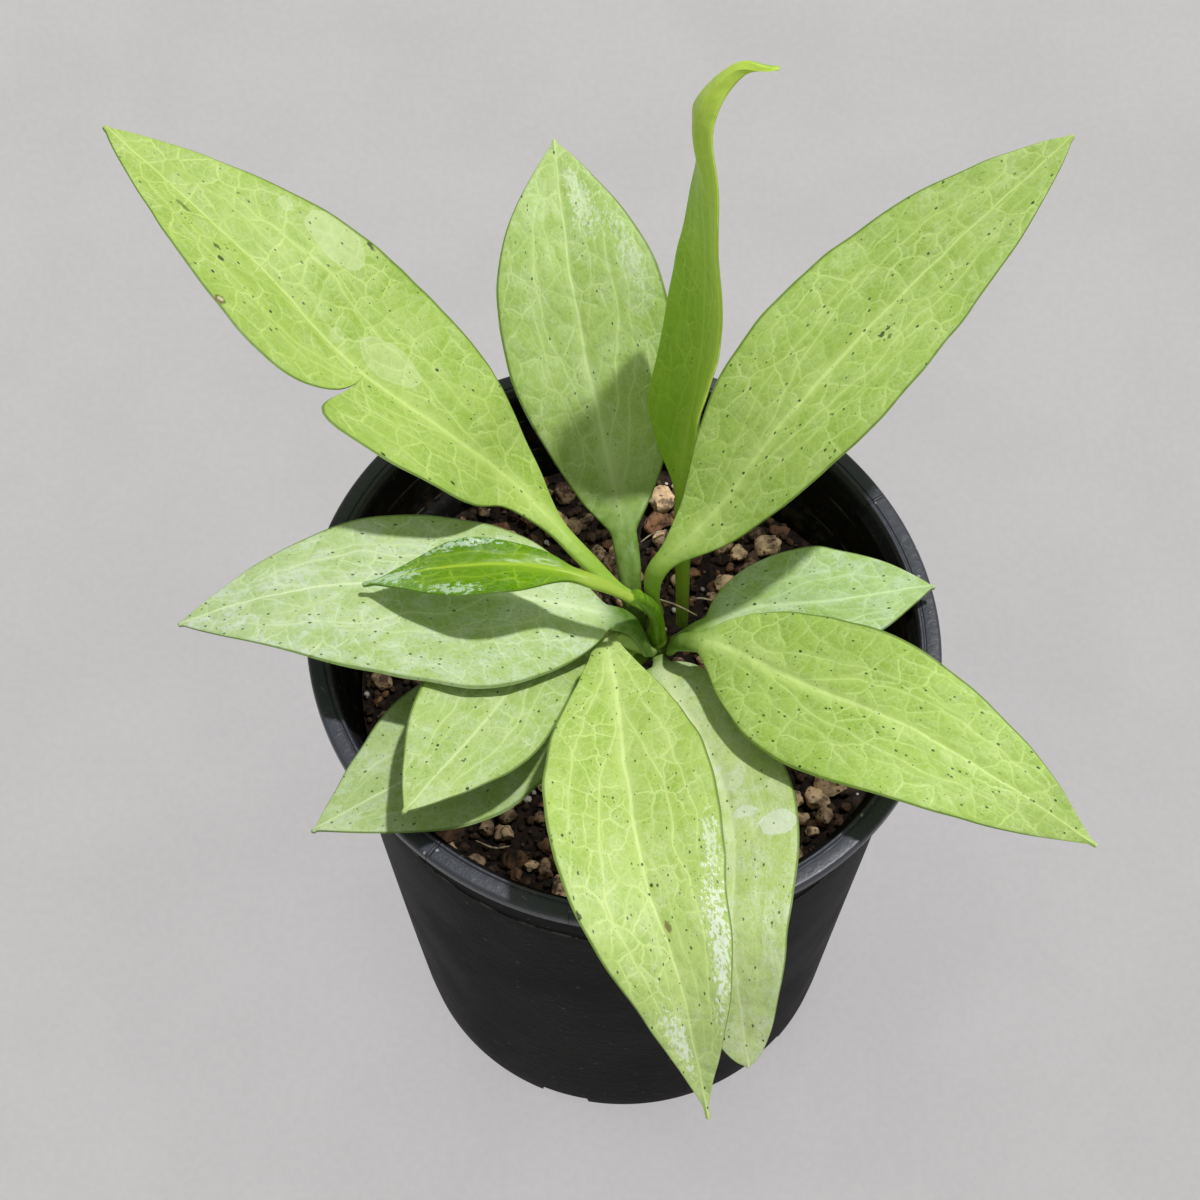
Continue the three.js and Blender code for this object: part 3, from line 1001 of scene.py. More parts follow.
    def _specked(self, w: Wiring, place: Socket, along: Socket, colour: Socket) -> Socket:
        """Adds fine dark specks, a few larger ones, and smudges where they crowd.

        Args:
            w: The material's wiring.
            place: The place on the leaf, in millimetres.
            along: The share of the blade's length.
            colour: The colour so far.

        Returns:
            The new colour.
        """
        long = w.vector("MULTIPLY", place, (0.8, 1.0, 1.0))
        tiny = Specks().mask(w, long, 0.9, 0.15, self.speckling * 0.7)
        fine = Specks().mask(w, long, 1.5, 0.25, self.speckling)
        large = Specks().mask(w, place, 4.5, 0.37, self.speckling)
        crowd = Specks().mask(w, long, 0.6, 0.24, 0.55)
        smudge = Clouds().mask(w, place, 5.0, 0.63, 0.69)
        crowd = w.times(crowd, smudge)
        dark = w.larger(w.times(fine, 0.85), w.times(large, 0.95))
        dark = w.larger(dark, w.times(tiny, 0.5))
        dark = w.larger(dark, w.times(crowd, 0.85))
        dark = w.times(dark, w.step(along, -0.05, 0.1, 0.2, 1.0))
        return w.mix(dark, colour, self.speck)

    def _painted_highlights(self, w: Wiring, place: Socket, share: Socket, colour: Socket) -> tuple[Socket, Value]:
        """Adds painted highlights in bright broken streaks.

        Args:
            w: The material's wiring.
            place: The place on the leaf, in millimetres.
            share: The place as shares of the leaf's length and half width.
            colour: The colour so far.

        Returns:
            The new colour, and where the painted highlights lie.
        """
        painted_glint_mask: Value = 0.0
        for glint in self.painted_glints:
            spot = HighlightStreaks().mask(w, place, share, (glint.along, glint.across, 1.0), (*glint.reach, 1.0))
            colour = w.mix(w.times(spot, glint.strength), colour, self.highlight_paint)
            painted_glint_mask = w.larger(painted_glint_mask, spot)
        return colour, painted_glint_mask


@dataclass(frozen=True)
class StemFinish(Finish):
    """The fresh green shoot, browner and drier towards the soil."""

    green: Colour = (0.11, 0.25, 0.004)
    fresh: Colour = (0.3, 0.5, 0.02)
    bark: Colour = (0.12, 0.1, 0.045)
    slot: str = "stem"

    def dress(self, w: Wiring) -> Inputs:
        """Long streaks along the shoot, with bark below.

        Args:
            w: The material's wiring.

        Returns:
            The shader's inputs by name.
        """
        place = self.millimetres(w)
        long = w.vector("MULTIPLY", place, (1.0, 1.0, 0.25))
        streaks = Clouds().mask(w, long, 0.7, 0.35, 0.7)
        colour = w.mix(w.times(streaks, 0.5), self.green, self.fresh)
        dry = w.step(w.parts(place)[2], 90.0, 99.0, 0.8, 0.0)
        rough = Clouds().mask(w, place, 1.6, 0.3, 0.7)
        colour = w.mix(w.times(dry, w.step(rough, 0.0, 1.0, 0.5, 1.0)), colour, self.bark)
        dots = Specks().mask(w, place, 1.3, 0.22, 0.25)
        colour = w.mix(w.times(dots, 0.6), colour, self.bark)
        rough = w.step(dry, 0.0, 0.8, 0.34, 0.7)
        grain = Grain().mask(w, long, 0.5)
        return {"Base Color": colour, "Roughness": rough, "Normal": w.bump(grain, 0.0001)}


@dataclass(frozen=True)
class PotFinish(Finish):
    """Satin black moulded plastic with dust, water marks, scratches, soil splashes and a painted bluish
    sheen on the rim.
    """

    black: Colour = (0.0095, 0.0095, 0.0097)
    worn: Colour = (0.03, 0.03, 0.033)
    dust: Colour = (0.2, 0.185, 0.165)
    mud: Colour = (0.09, 0.06, 0.042)
    # The rim colour paints the bluish sheen of the sky on the rim's top.
    rim: Colour = (0.05, 0.053, 0.074)
    fleck: Colour = (0.4, 0.4, 0.4)
    seams: tuple[float, ...] = (-127.0, -99.0, 31.0)
    ridges: tuple[float, ...] = (94.2, 103.2)
    rim_height: float = 109.0
    gloss: float = 0.02
    rough: float = 0.46
    slot: str = "pot"

    def dress(self, w: Wiring) -> Inputs:
        """Plastic, dust, scratches and painted sheen on the rim, and mud near the foot.

        Args:
            w: The material's wiring.

        Returns:
            The shader's inputs by name.
        """
        place = self.millimetres(w)
        apart = w.parts(place)
        height = apart[2]
        patches = Clouds().mask(w, place, 17.0, 0.35, 0.8)
        colour = w.mix(w.times(patches, 0.1), self.black, self.worn)
        specks = Specks().mask(w, place, 2.6, 0.42, 0.22)
        fine = Specks().mask(w, place, 1.1, 0.2, 0.16)
        dusty = w.larger(w.times(specks, 0.3), w.times(fine, 0.3))
        colour = w.mix(dusty, colour, self.dust)
        chafed = Clouds().mask(w, place, 3.5, 0.42, 0.62)
        for ridge in self.ridges:
            away = w.math("ABSOLUTE", w.minus(height, ridge))
            line = w.times(w.step(away, 0.1, 0.4, 0.5, 0.0), chafed)
            colour = w.mix(line, colour, self.dust)
        # Painted sheen: the rim's top is tinted a lighter blue-grey.
        on_rim = w.step(height, self.rim_height - 1.2, self.rim_height)
        colour = w.mix(w.times(on_rim, 0.8), colour, self.rim)
        lines = Scratches().mask(w, place, 7.0, 0.16, 0.12)
        worn = w.times(lines, w.step(on_rim, 0.0, 1.0, 0.12, 0.6))
        colour = w.mix(worn, colour, self.dust)
        flecks = Specks().mask(w, place, 2.1, 0.27, 0.25)
        colour = w.mix(w.times(flecks, w.times(on_rim, 0.7)), colour, self.fleck)
        low = w.step(height, 3.0, 50.0, 1.0, 0.0)
        splash = Clouds().mask(w, place, 3.2, 0.62, 0.74)
        splash = w.times(splash, w.times(low, 0.3))
        drops = Specks().mask(w, place, 1.8, 0.42, 0.3)
        splash = w.larger(splash, w.times(drops, w.times(low, 0.8)))
        colour = w.mix(splash, colour, self.mud)
        inner = self._inner_dirt(w, place, height)
        colour = w.mix(inner, colour, self.mud)
        marks = w.larger(dusty, w.larger(splash, inner))
        rough = w.step(marks, 0.0, 0.6, self.rough, 0.75)
        rough = w.plus(rough, w.times(patches, 0.1))
        grain = Grain().mask(w, place, 1.6)
        normal = w.bump(grain, 0.00012, w.bump(self._seam_height(w, apart), 0.0004))
        return {"Base Color": colour, "Roughness": rough, "Specular IOR Level": self.gloss,
                "Normal": normal}

    def _inner_dirt(self, w: Wiring, place: Socket, height: Socket) -> Socket:
        """Soil dust on the inside of the wall, just over the soil.

        Args:
            w: The material's wiring.
            place: The place, in millimetres.
            height: The place's height.

        Returns:
            How much dirt there is.
        """
        outward = w.vector("NORMALIZE", w.vector("MULTIPLY", place, (1.0, 1.0, 0.0)))
        facing = w.vector("DOT_PRODUCT", w.node("TexCoord").outputs["Normal"], outward)
        inside = w.step(facing, -0.6, -0.3, 1.0, 0.0)
        near = w.step(height, 93.0, 104.0, 1.0, 0.0)
        loose = Clouds().mask(w, place, 2.6, 0.46, 0.62)
        return w.times(w.times(inside, near), w.times(loose, 0.4))

    def _seam_height(self, w: Wiring, apart: bpy.types.NodeOutputs) -> Socket:
        """Fine moulding seams across the rim.

        Args:
            w: The material's wiring.
            apart: The place's three parts.

        Returns:
            The height, which dips at each seam.
        """
        angle = w.math("ARCTAN2", apart[1], apart[0])
        total: Value = 1.0
        for seam in self.seams:
            away = w.math("ABSOLUTE", w.minus(angle, math.radians(seam)))
            dip = w.step(away, 0.003, 0.008)
            total = w.math("MINIMUM", total, dip)
        on_rim = w.step(apart[2], self.rim_height - 3.0, self.rim_height - 2.0)
        return w.mix(on_rim, (1.0, 1.0, 1.0), total)


@dataclass(frozen=True)
class GrainFinish(Finish):
    """Loose soil pieces. Each piece keeps its own draw, which picks its tone."""

    dark: Colour = (0.1, 0.058, 0.034)
    light: Colour = (0.85, 0.6, 0.36)
    pit: Colour = (0.03, 0.02, 0.013)
    pit_cell: float = 0.8
    pit_share: float = 0.3
    pitting: float = 0.7
    soiling: float = 0.7
    streak: float = 1.0
    rough: float = 0.9
    relief: float = 0.0003
    slot: str = "soil"

    def dress(self, w: Wiring) -> Inputs:
        """Tone by piece, mottling, pits and a rough grain.

        Args:
            w: The material's wiring.

        Returns:
            The shader's inputs by name.
        """
        place = w.vector("MULTIPLY", self.millimetres(w), (1.0, self.streak, 1.0))
        draws = w.parts(self.attribute(w, "grain_draw"))
        mottle = Clouds().mask(w, place, 1.3, 0.3, 0.7)
        tone = w.math("ADD", draws[0], w.step(mottle, 0.0, 1.0, -0.22, 0.22), clamp=True)
        colour = w.mix(tone, self.dark, self.light)
        pits = Specks().mask(w, place, self.pit_cell, self.pit_cell * 0.4, self.pit_share)
        colour = w.mix(w.times(pits, self.pitting), colour, self.pit)
        damp = w.step(draws[1], 0.6, 1.0, 0.0, 0.4)
        colour = w.mix(damp, colour, self.pit)
        soiled = Clouds().mask(w, place, 2.0, 0.5, 0.64)
        colour = w.mix(w.times(soiled, self.soiling), colour, self.pit)
        lowered = w.minus(Grain().mask(w, place, 0.8), w.times(pits, 0.8))
        return {"Base Color": colour, "Roughness": self.rough, "Specular IOR Level": 0.3,
                "Normal": w.bump(lowered, self.relief)}


@dataclass(frozen=True)
class FloorFinish(Finish):
    """A plain pale floor with the faintest cloudiness."""

    pale: Colour = (0.525, 0.5015, 0.5266)
    cloudy: Colour = (0.4835, 0.461, 0.4855)
    slot: str = ""

    def dress(self, w: Wiring) -> Inputs:
        """Soft patches and a fine speckle.

        Args:
            w: The material's wiring.

        Returns:
            The shader's inputs by name.
        """
        place = self.millimetres(w)
        patches = Clouds().mask(w, place, 38.0, 0.3, 0.7)
        fine = Clouds().mask(w, place, 1.6, 0.35, 0.65)
        amount = w.plus(w.times(patches, 0.6), w.times(fine, 0.4))
        return {"Base Color": w.mix(amount, self.pale, self.cloudy), "Roughness": 0.9}


# --- meshes ---


@dataclass
class Surface:
    """A mesh in the making: points in millimetres, faces and vectors kept at the points."""

    points: Array
    faces: Faces
    kept: dict[str, Array] = field(default_factory=dict)

    def piece(self, name: str, material: bpy.types.Material, sharp: float = 40.0) -> Piece:
        """Makes the Blender object.

        Args:
            name: The object's name.
            material: Its material.
            sharp: Edges that turn by more than this many degrees stay sharp.

        Returns:
            The object, linked to the scene.
        """
        mesh = bpy.data.meshes.new(name)
        mesh.from_pydata((self.points * MM).tolist(), [], self.faces)
        mesh.validate()
        for title, values in self.kept.items():
            layer = mesh.attributes.new(title, "FLOAT_VECTOR", "POINT")
            layer.data.foreach_set("vector", values.astype(np.float32).ravel())
        mesh.polygons.foreach_set("use_smooth", [True] * len(mesh.polygons))
        mesh.set_sharp_from_angle(angle=math.radians(sharp))
        mesh.materials.append(material)
        made = bpy.data.objects.new(name, mesh)
        bpy.context.scene.collection.objects.link(made)
        return made

    @staticmethod
    def loft(rings: Array, kept: dict[str, Array] | None = None) -> "Surface":
        """A closed solid through rings that each have one number of points.

        Args:
            rings: Points by ring, by place on the ring.
            kept: Vectors to keep, laid out as the rings are.

        Returns:
            The surface, capped at both ends.
        """
        count, around = rings.shape[:2]
        faces: Faces = []
        for i in range(count - 1):
            for j in range(around):
                a, b = i * around + j, i * around + (j + 1) % around
                faces.append((a, b, b + around, a + around))
        faces.append(tuple(range(around - 1, -1, -1)))
        faces.append(tuple(range((count - 1) * around, count * around)))
        flat = {name: values.reshape(-1, 3) for name, values in (kept or {}).items()}
        return Surface(rings.reshape(-1, 3), faces, flat)


def settle(piece: Piece, finish: Finish, *nodes: str) -> None:
    """Ties a piece to the body and the CAD nodes that it stands for.

    Args:
        piece: The object.
        finish: Not used.
        *nodes: CAD nodes that it replaces.
    """
    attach(piece, BODY)
    if nodes:
        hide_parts(*nodes)
    LOG.info("%s: %d faces", piece.name, len(piece.data.polygons))


# --- leaves ---


@dataclass(frozen=True)
class Lateral:
    """A long side vein: it leaves the rib at start and bends to run along a share of the width."""

    start: float
    reach: float
    bend: float = 0.22
    end: float = 1.0
    strength: float = 1.0


@dataclass(frozen=True)
class Notch:
    """A torn notch in the left margin, as a share of the blade and in millimetres."""

    at: float
    before: float
    after: float


@dataclass(frozen=True)
class LeafPlan:
    """How one leaf lies: the same sizes in millimetres and degrees as its solid."""

    node: str
    rib: tuple[Point, ...]
    stalk: float
    half: float
    widest: float
    fullness: tuple[float, float]
    right: float
    left: float
    roll: tuple[float, ...]
    fold: tuple[float, ...]
    finish: LeafFinish
    heading: float | None = None
    notch: Notch | None = None
    stalk_half_width: float = 1.8
    right_veins: tuple[Lateral, ...] = (
        Lateral(0.05, 0.66, 0.25, 0.8, 0.55), Lateral(0.2, 0.52, 0.2, 0.9, 0.8),
        Lateral(0.5, 0.5, 0.2, 1.0, 0.45))
    left_veins: tuple[Lateral, ...] = (
        Lateral(0.07, 0.6, 0.22, 0.75, 0.6), Lateral(0.27, 0.55, 0.2, 0.95, 0.75),
        Lateral(0.58, 0.5, 0.2, 1.0, 0.4))
    vein_depth: float = 0.1
    puckering: float = 0.17


@dataclass
class Leaf:
    """A leaf grown as one piece with its stalk."""

    plan: LeafPlan
    index: int
    steps: int = 150
    half_steps: int = 26
    rib_half: float = 0.75
    margin_half: float = 0.36
    stalk_half_width: float = 1.8
    stalk_half_height: float = 1.25
    tip_half_width: float = 0.42
    keel: float = 0.45
    ripple: float = 0.5
    ripples: float = 2.2
    margin_sway: float = 0.26
    notch_lobe: float = 8.6
    notch_reach: float = 5.2
    root_share: float = 0.68
    cap_turns: tuple[float, ...] = (1.45, 1.15, 0.85, 0.55, 0.28)
    notch_stations: tuple[float, ...] = (
        -2.2, -1.8, -1.4, -1.0, -0.7, -0.4, -0.2, -0.08, 0.0, 0.15, 0.35, 0.7, 1.2, 1.9)
    left_seed: float = 20.0
    right_seed: float = 40.0
    pucker_seed: float = 1.0

    @cached_property
    def length(self) -> float:
        """The leaf's length along its rib, in millimetres."""
        return Route(self.plan.rib).sampled(2)[1]

    @property
    def stalk_share(self) -> float:
        """The stalk's share of the leaf's length."""
        return self.plan.stalk / self.length

    def stations(self) -> Array:
        """Places along the leaf, closer together at a notch.

        Returns:
            Places from 0 to 1.
        """
        places = np.linspace(0.0, 1.0, self.steps)
        if self.plan.notch:
            at = self.stalk_share + (1 - self.stalk_share) * self.plan.notch.at
            near = at + np.array(self.notch_stations) / self.length
            places = np.concatenate([places[np.abs(places - at) > 2.4 / self.length], near])
        return np.sort(places)

    def narrowing(self, t: Array) -> Array:
        """How the stalk narrows towards its root."""
        return self.root_share + (1 - self.root_share) * smoothstep(0.0, self.stalk_share, t)

    def widths(self, s: Array, t: Array) -> tuple[Array, Array]:
        """The half widths left and right of the rib.

        Args:
            s: The share of the blade's length.
            t: The share of the leaf's length.

        Returns:
            The left and the right half widths.
        """
        plan = self.plan
        u = np.clip(s, 0.0, 1.0)
        rising = np.sin(math.pi / 2 * np.minimum(u / plan.widest, 1.0)) ** plan.fullness[0]
        rest = np.clip((u - plan.widest) / (1 - plan.widest), 0.0, 1.0)
        falling = np.maximum(np.cos(math.pi / 2 * rest), 0.0) ** plan.fullness[1]
        blade = plan.half * np.where(u < plan.widest, rising, falling)
        notched = np.ones_like(s)
        if plan.notch:
            past = (s - plan.notch.at) * (self.length - plan.stalk)
            reach = np.where(past < 0, -past / plan.notch.before, past / plan.notch.after)
            notched = 0.03 + 0.97 * np.sqrt(1 - (1 - np.clip(reach, 0.0, 1.0)) ** 2)
        stalk = plan.stalk_half_width * self.narrowing(t) * (1 - smoothstep(0.0, 0.45, s))
        left = np.cbrt((blade * plan.left * notched) ** 3 + stalk**3)
        right = np.cbrt((blade * plan.right) ** 3 + stalk**3)
        free = smoothstep(0.03, 0.15, s) * (1 - smoothstep(0.88, 0.98, s)) * self.margin_sway * notched
        line = np.stack([t * self.length, 0 * t, 0 * t], -1)
        left = left + free * lift_noise(line, 6.0, self.index + self.left_seed)
        right = right + free * lift_noise(line, 6.0, self.index + self.right_seed)
        return np.maximum(left, self.tip_half_width), np.maximum(right, self.tip_half_width)

    def directions(self, centre: Array, t: Array) -> tuple[Array, Array]:
        """The leaf's right-hand and upward directions at each station.

        Args:
            centre: The rib's points.
            t: The share of the leaf's length.

        Returns:
            The right-hand and the upward directions.
        """
        along = unit(np.gradient(centre, axis=0))
        if self.plan.heading is None:
            way = centre[-1] - centre[0]
            heading = math.atan2(way[1], way[0])
        else:
            heading = math.radians(self.plan.heading)
        level = np.array([math.sin(heading), -math.cos(heading), 0.0])
        side = unit(level - (along @ level)[:, None] * along)
        up = np.cross(side, along)
        roll = np.radians(eased(self.plan.roll, t))[:, None]
        return side * np.cos(roll) + up * np.sin(roll), up * np.cos(roll) - side * np.sin(roll)

    def vein_gaps(self, s: Array, q: Array, width: Array) -> tuple[Array, Array]:
        """The distance to each side vein of the same half, and how strong it is there.

        Args:
            s: The share of the blade's length, by station.
            q: The share of the half width, by column, negative on the left.
            width: The half width by station and column.

        Returns:
            Gaps in millimetres and strengths, three of each by station and column.
        """
        gaps = np.full((*width.shape, 3), 9.0)
        strengths = np.zeros_like(gaps)
        for mask, veins in ((q < 0, self.plan.left_veins), (q >= 0, self.plan.right_veins)):
            for k, vein in enumerate(veins):
                past = s - vein.start
                bent = 1 - np.exp(-past / vein.bend)
                line = vein.reach * np.where(past > 0, bent, past / vein.bend)
                line = line + 0.018 * np.sin(s * 31 + 2.1 * k + self.index) * (past > 0)
                gap = (np.abs(q)[None, :] - line[:, None]) * width
                fade = smoothstep(-0.02, 0.02, past) * (1 - smoothstep(vein.end - 0.18, vein.end, s))
                gaps[:, mask, k] = gap[:, mask]
                strengths[:, mask, k] = vein.strength * fade[:, None]
        return gaps, strengths

    def surface(self) -> Surface:
        """The leaf's closed skin, with its places and veins kept at the points."""
        plan = self.plan
        t = self.stations()
        fine, _ = Route(plan.rib).sampled(1200)
        grid = np.linspace(0.0, 1.0, 1200)
        side_fine, up_fine = self.directions(fine, grid)
        centre, side, up = (read_off(t, grid, rows) for rows in (fine, side_fine, up_fine))
        s = (t - self.stalk_share) / (1 - self.stalk_share)
        left, right = self.widths(s, t)
        half = np.linspace(0.0, 1.0, self.half_steps + 1) ** 1.12
        half = 1 - (1 - half) ** 1.25
        q = np.concatenate([-half[:0:-1], half])
        width = np.where(q[None, :] < 0, left[:, None], right[:, None])
        across = width * q[None, :]
        gaps, strengths = self.vein_gaps(s, q, width)

        fold = np.radians(eased(plan.fold, t))[:, None]
        bladeness = smoothstep(-0.02, 0.25, s)[:, None]
        flatness = smoothstep(-0.12, 0.15, s)[:, None]
        raised = np.sin(fold) * (np.hypot(across, 1.0) - 1.0)
        phase = self.ripples * 2 * math.pi * s[:, None] + np.where(q < 0, 2.0, 0.0)[None, :]
        ripple = self.ripple * np.sin(phase) * q[None, :] ** 2
        ripple = ripple * np.sin(math.pi * np.maximum(s, 0.0))[:, None]
        flatter = self.stalk_half_height / self.stalk_half_width
        stalk_height = flatter * plan.stalk_half_width * self.narrowing(t)[:, None]
        round_edge = np.sqrt(np.clip(1 - np.abs(q) ** 16, 0.0, 1.0))[None, :]
        blade_half = self.margin_half + (self.rib_half - self.margin_half) * (1 - np.abs(q[None, :])) ** 1.5
        blade_half = blade_half * round_edge
        stalk_half = stalk_height * np.sqrt(np.clip(1 - q[None, :] ** 2, 0.0, 1.0))
        keel = self.keel * np.exp(-(across**2)) * (1 - np.maximum(s, 0.0))[:, None]
        places = np.stack([(t * self.length)[:, None] + 0 * across, across, 0 * across], -1)
        pucker = lift_noise((places / (1.6, 1.0, 1.0)).reshape(-1, 3), 5.0, self.index + self.pucker_seed)
        pucker = plan.puckering * pucker.reshape(across.shape) * bladeness
        veins = (np.exp(-((gaps / 0.75) ** 2)) * strengths).max(-1) * bladeness
        channel = np.exp(-((across / 0.8) ** 2)) * (0.42 - 0.3 * np.clip(s, 0.0, 1.0))[:, None]
        channel = channel * (0.3 + 0.7 * bladeness)
        above = -plan.vein_depth * veins - channel
        middle = (raised + ripple) * bladeness + pucker
        base = centre[:, None] + side[:, None] * (across * np.cos(fold))[..., None]
        top_half = (1 - flatness) * stalk_half + flatness * blade_half
        low_half = (1 - flatness) * stalk_half + flatness * (blade_half + keel * round_edge)
        top = base + up[:, None] * (middle + top_half + above * round_edge)[..., None]
        low = base + up[:, None] * (middle - low_half)[..., None]
        rings = np.concatenate([low[:, ::-1], top], axis=1)
        rings = rings + self._lobe(s, np.concatenate([across[:, ::-1], across], axis=1), centre)
        kept = self._kept(s, q, across, places, gaps, strengths)
        root = self._cap(rings[0], centre[0] - centre[1], plan.stalk_half_width * 0.8)
        tip = self._cap(rings[-1], centre[-1] - centre[-2], self.tip_half_width)[::-1]
        more = len(self.cap_turns)
        kept = {name: np.concatenate([np.repeat(rows[:1], more, axis=0), rows,
                                      np.repeat(rows[-1:], more, axis=0)]) for name, rows in kept.items()}
        return Surface.loft(np.concatenate([root, rings, tip]), kept)

    def _cap(self, last: Array, way: Array, reach: float) -> Array:
        """Rings that round off one end.

        Args:
            last: The end's ring.
            way: The direction out of the end.
            reach: How far the cap reaches, in millimetres.

        Returns:
            The rings, the outermost first.
        """
        middle = last.mean(axis=0)
        out = way / np.linalg.norm(way) * reach
        apart = last - middle
        return np.array([middle + apart * math.cos(a) + out * math.sin(a) for a in self.cap_turns])

    def _lobe(self, s: Array, across: Array, centre: Array) -> Array:
        """How far the lobe before a notch is drawn forwards, which closes the tear to a slit.

        Args:
            s: The share of the blade's length.
            across: The distance from the rib round each ring, in millimetres.
            centre: The rib's points.

        Returns:
            The move of each point.
        """
        if not self.plan.notch:
            return np.zeros((*across.shape, 3))
        along = unit(np.gradient(centre, axis=0))
        past = (s - self.plan.notch.at) * (self.length - self.plan.stalk)
        near = np.exp(-((past / self.notch_reach) ** 2)) * (past < 1e-6)
        outer = np.clip(-across / (self.plan.half * self.plan.left), 0.0, 1.0) ** 2
        return along[:, None] * (self.notch_lobe * near[:, None] * outer)[..., None]

    def _kept(self, s: Array, q: Array, across: Array, places: Array,
              gaps: Array, strengths: Array) -> dict[str, Array]:
        """The vectors that the finish reads, round each ring.

        Args:
            s: The share of the blade's length.
            q: The share of the half width.
            across: The distance from the rib, in millimetres.
            places: The place along and across, in millimetres.
            gaps: The distances to the side veins.
            strengths: The strengths of the side veins.

        Returns:
            The vectors by name.
        """
        spot = places.copy()
        spot[..., 0] += self.offset
        spot[..., 2] = across
        share = np.stack([s[:, None] + 0 * across, q[None, :] + 0 * across, 0 * across + 1.0], -1)
        below = share * (1.0, 1.0, -1.0)
        return {
            "leaf_place": np.concatenate([spot[:, ::-1], spot], axis=1),
            "leaf_share": np.concatenate([below[:, ::-1], share], axis=1),
            "vein_gap": np.concatenate([gaps[:, ::-1], gaps], axis=1),
            "vein_strength": np.concatenate([strengths[:, ::-1], strengths], axis=1),
        }

    @property
    def offset(self) -> float:
        """Where this leaf's patterns start, so that no two leaves look alike."""
        return 173.0 * (self.index + 1)

    def centres(self, marks: tuple[Stain, ...] | tuple[Scar, ...]) -> tuple[Point, ...]:
        """The centres of dried drops or scars in the coordinates of leaf_place.

        Args:
            marks: The drops or scars.

        Returns:
            One centre for each.
        """
        centres = []
        for mark in marks:
            s = np.array([mark.along])
            t = s * (1 - self.stalk_share) + self.stalk_share
            left, right = self.widths(s, t)
            width = left if mark.across < 0 else right
            across = float(width[0] * mark.across)
            centres.append((float(t[0] * self.length) + self.offset, across, 0.0))
        return tuple(centres)

    def build(self) -> Piece:
        """Makes, dresses and settles the leaf."""
        finish, node = self.plan.finish, self.plan.node
        finish = replace(finish, centres=self.centres(finish.stains),
                         scar_centres=self.centres(finish.scars))
        piece = self.surface().piece(node + "_blade", finish.material(node + "_skin"), sharp=75.0)
        settle(piece, finish, node)
        return piece


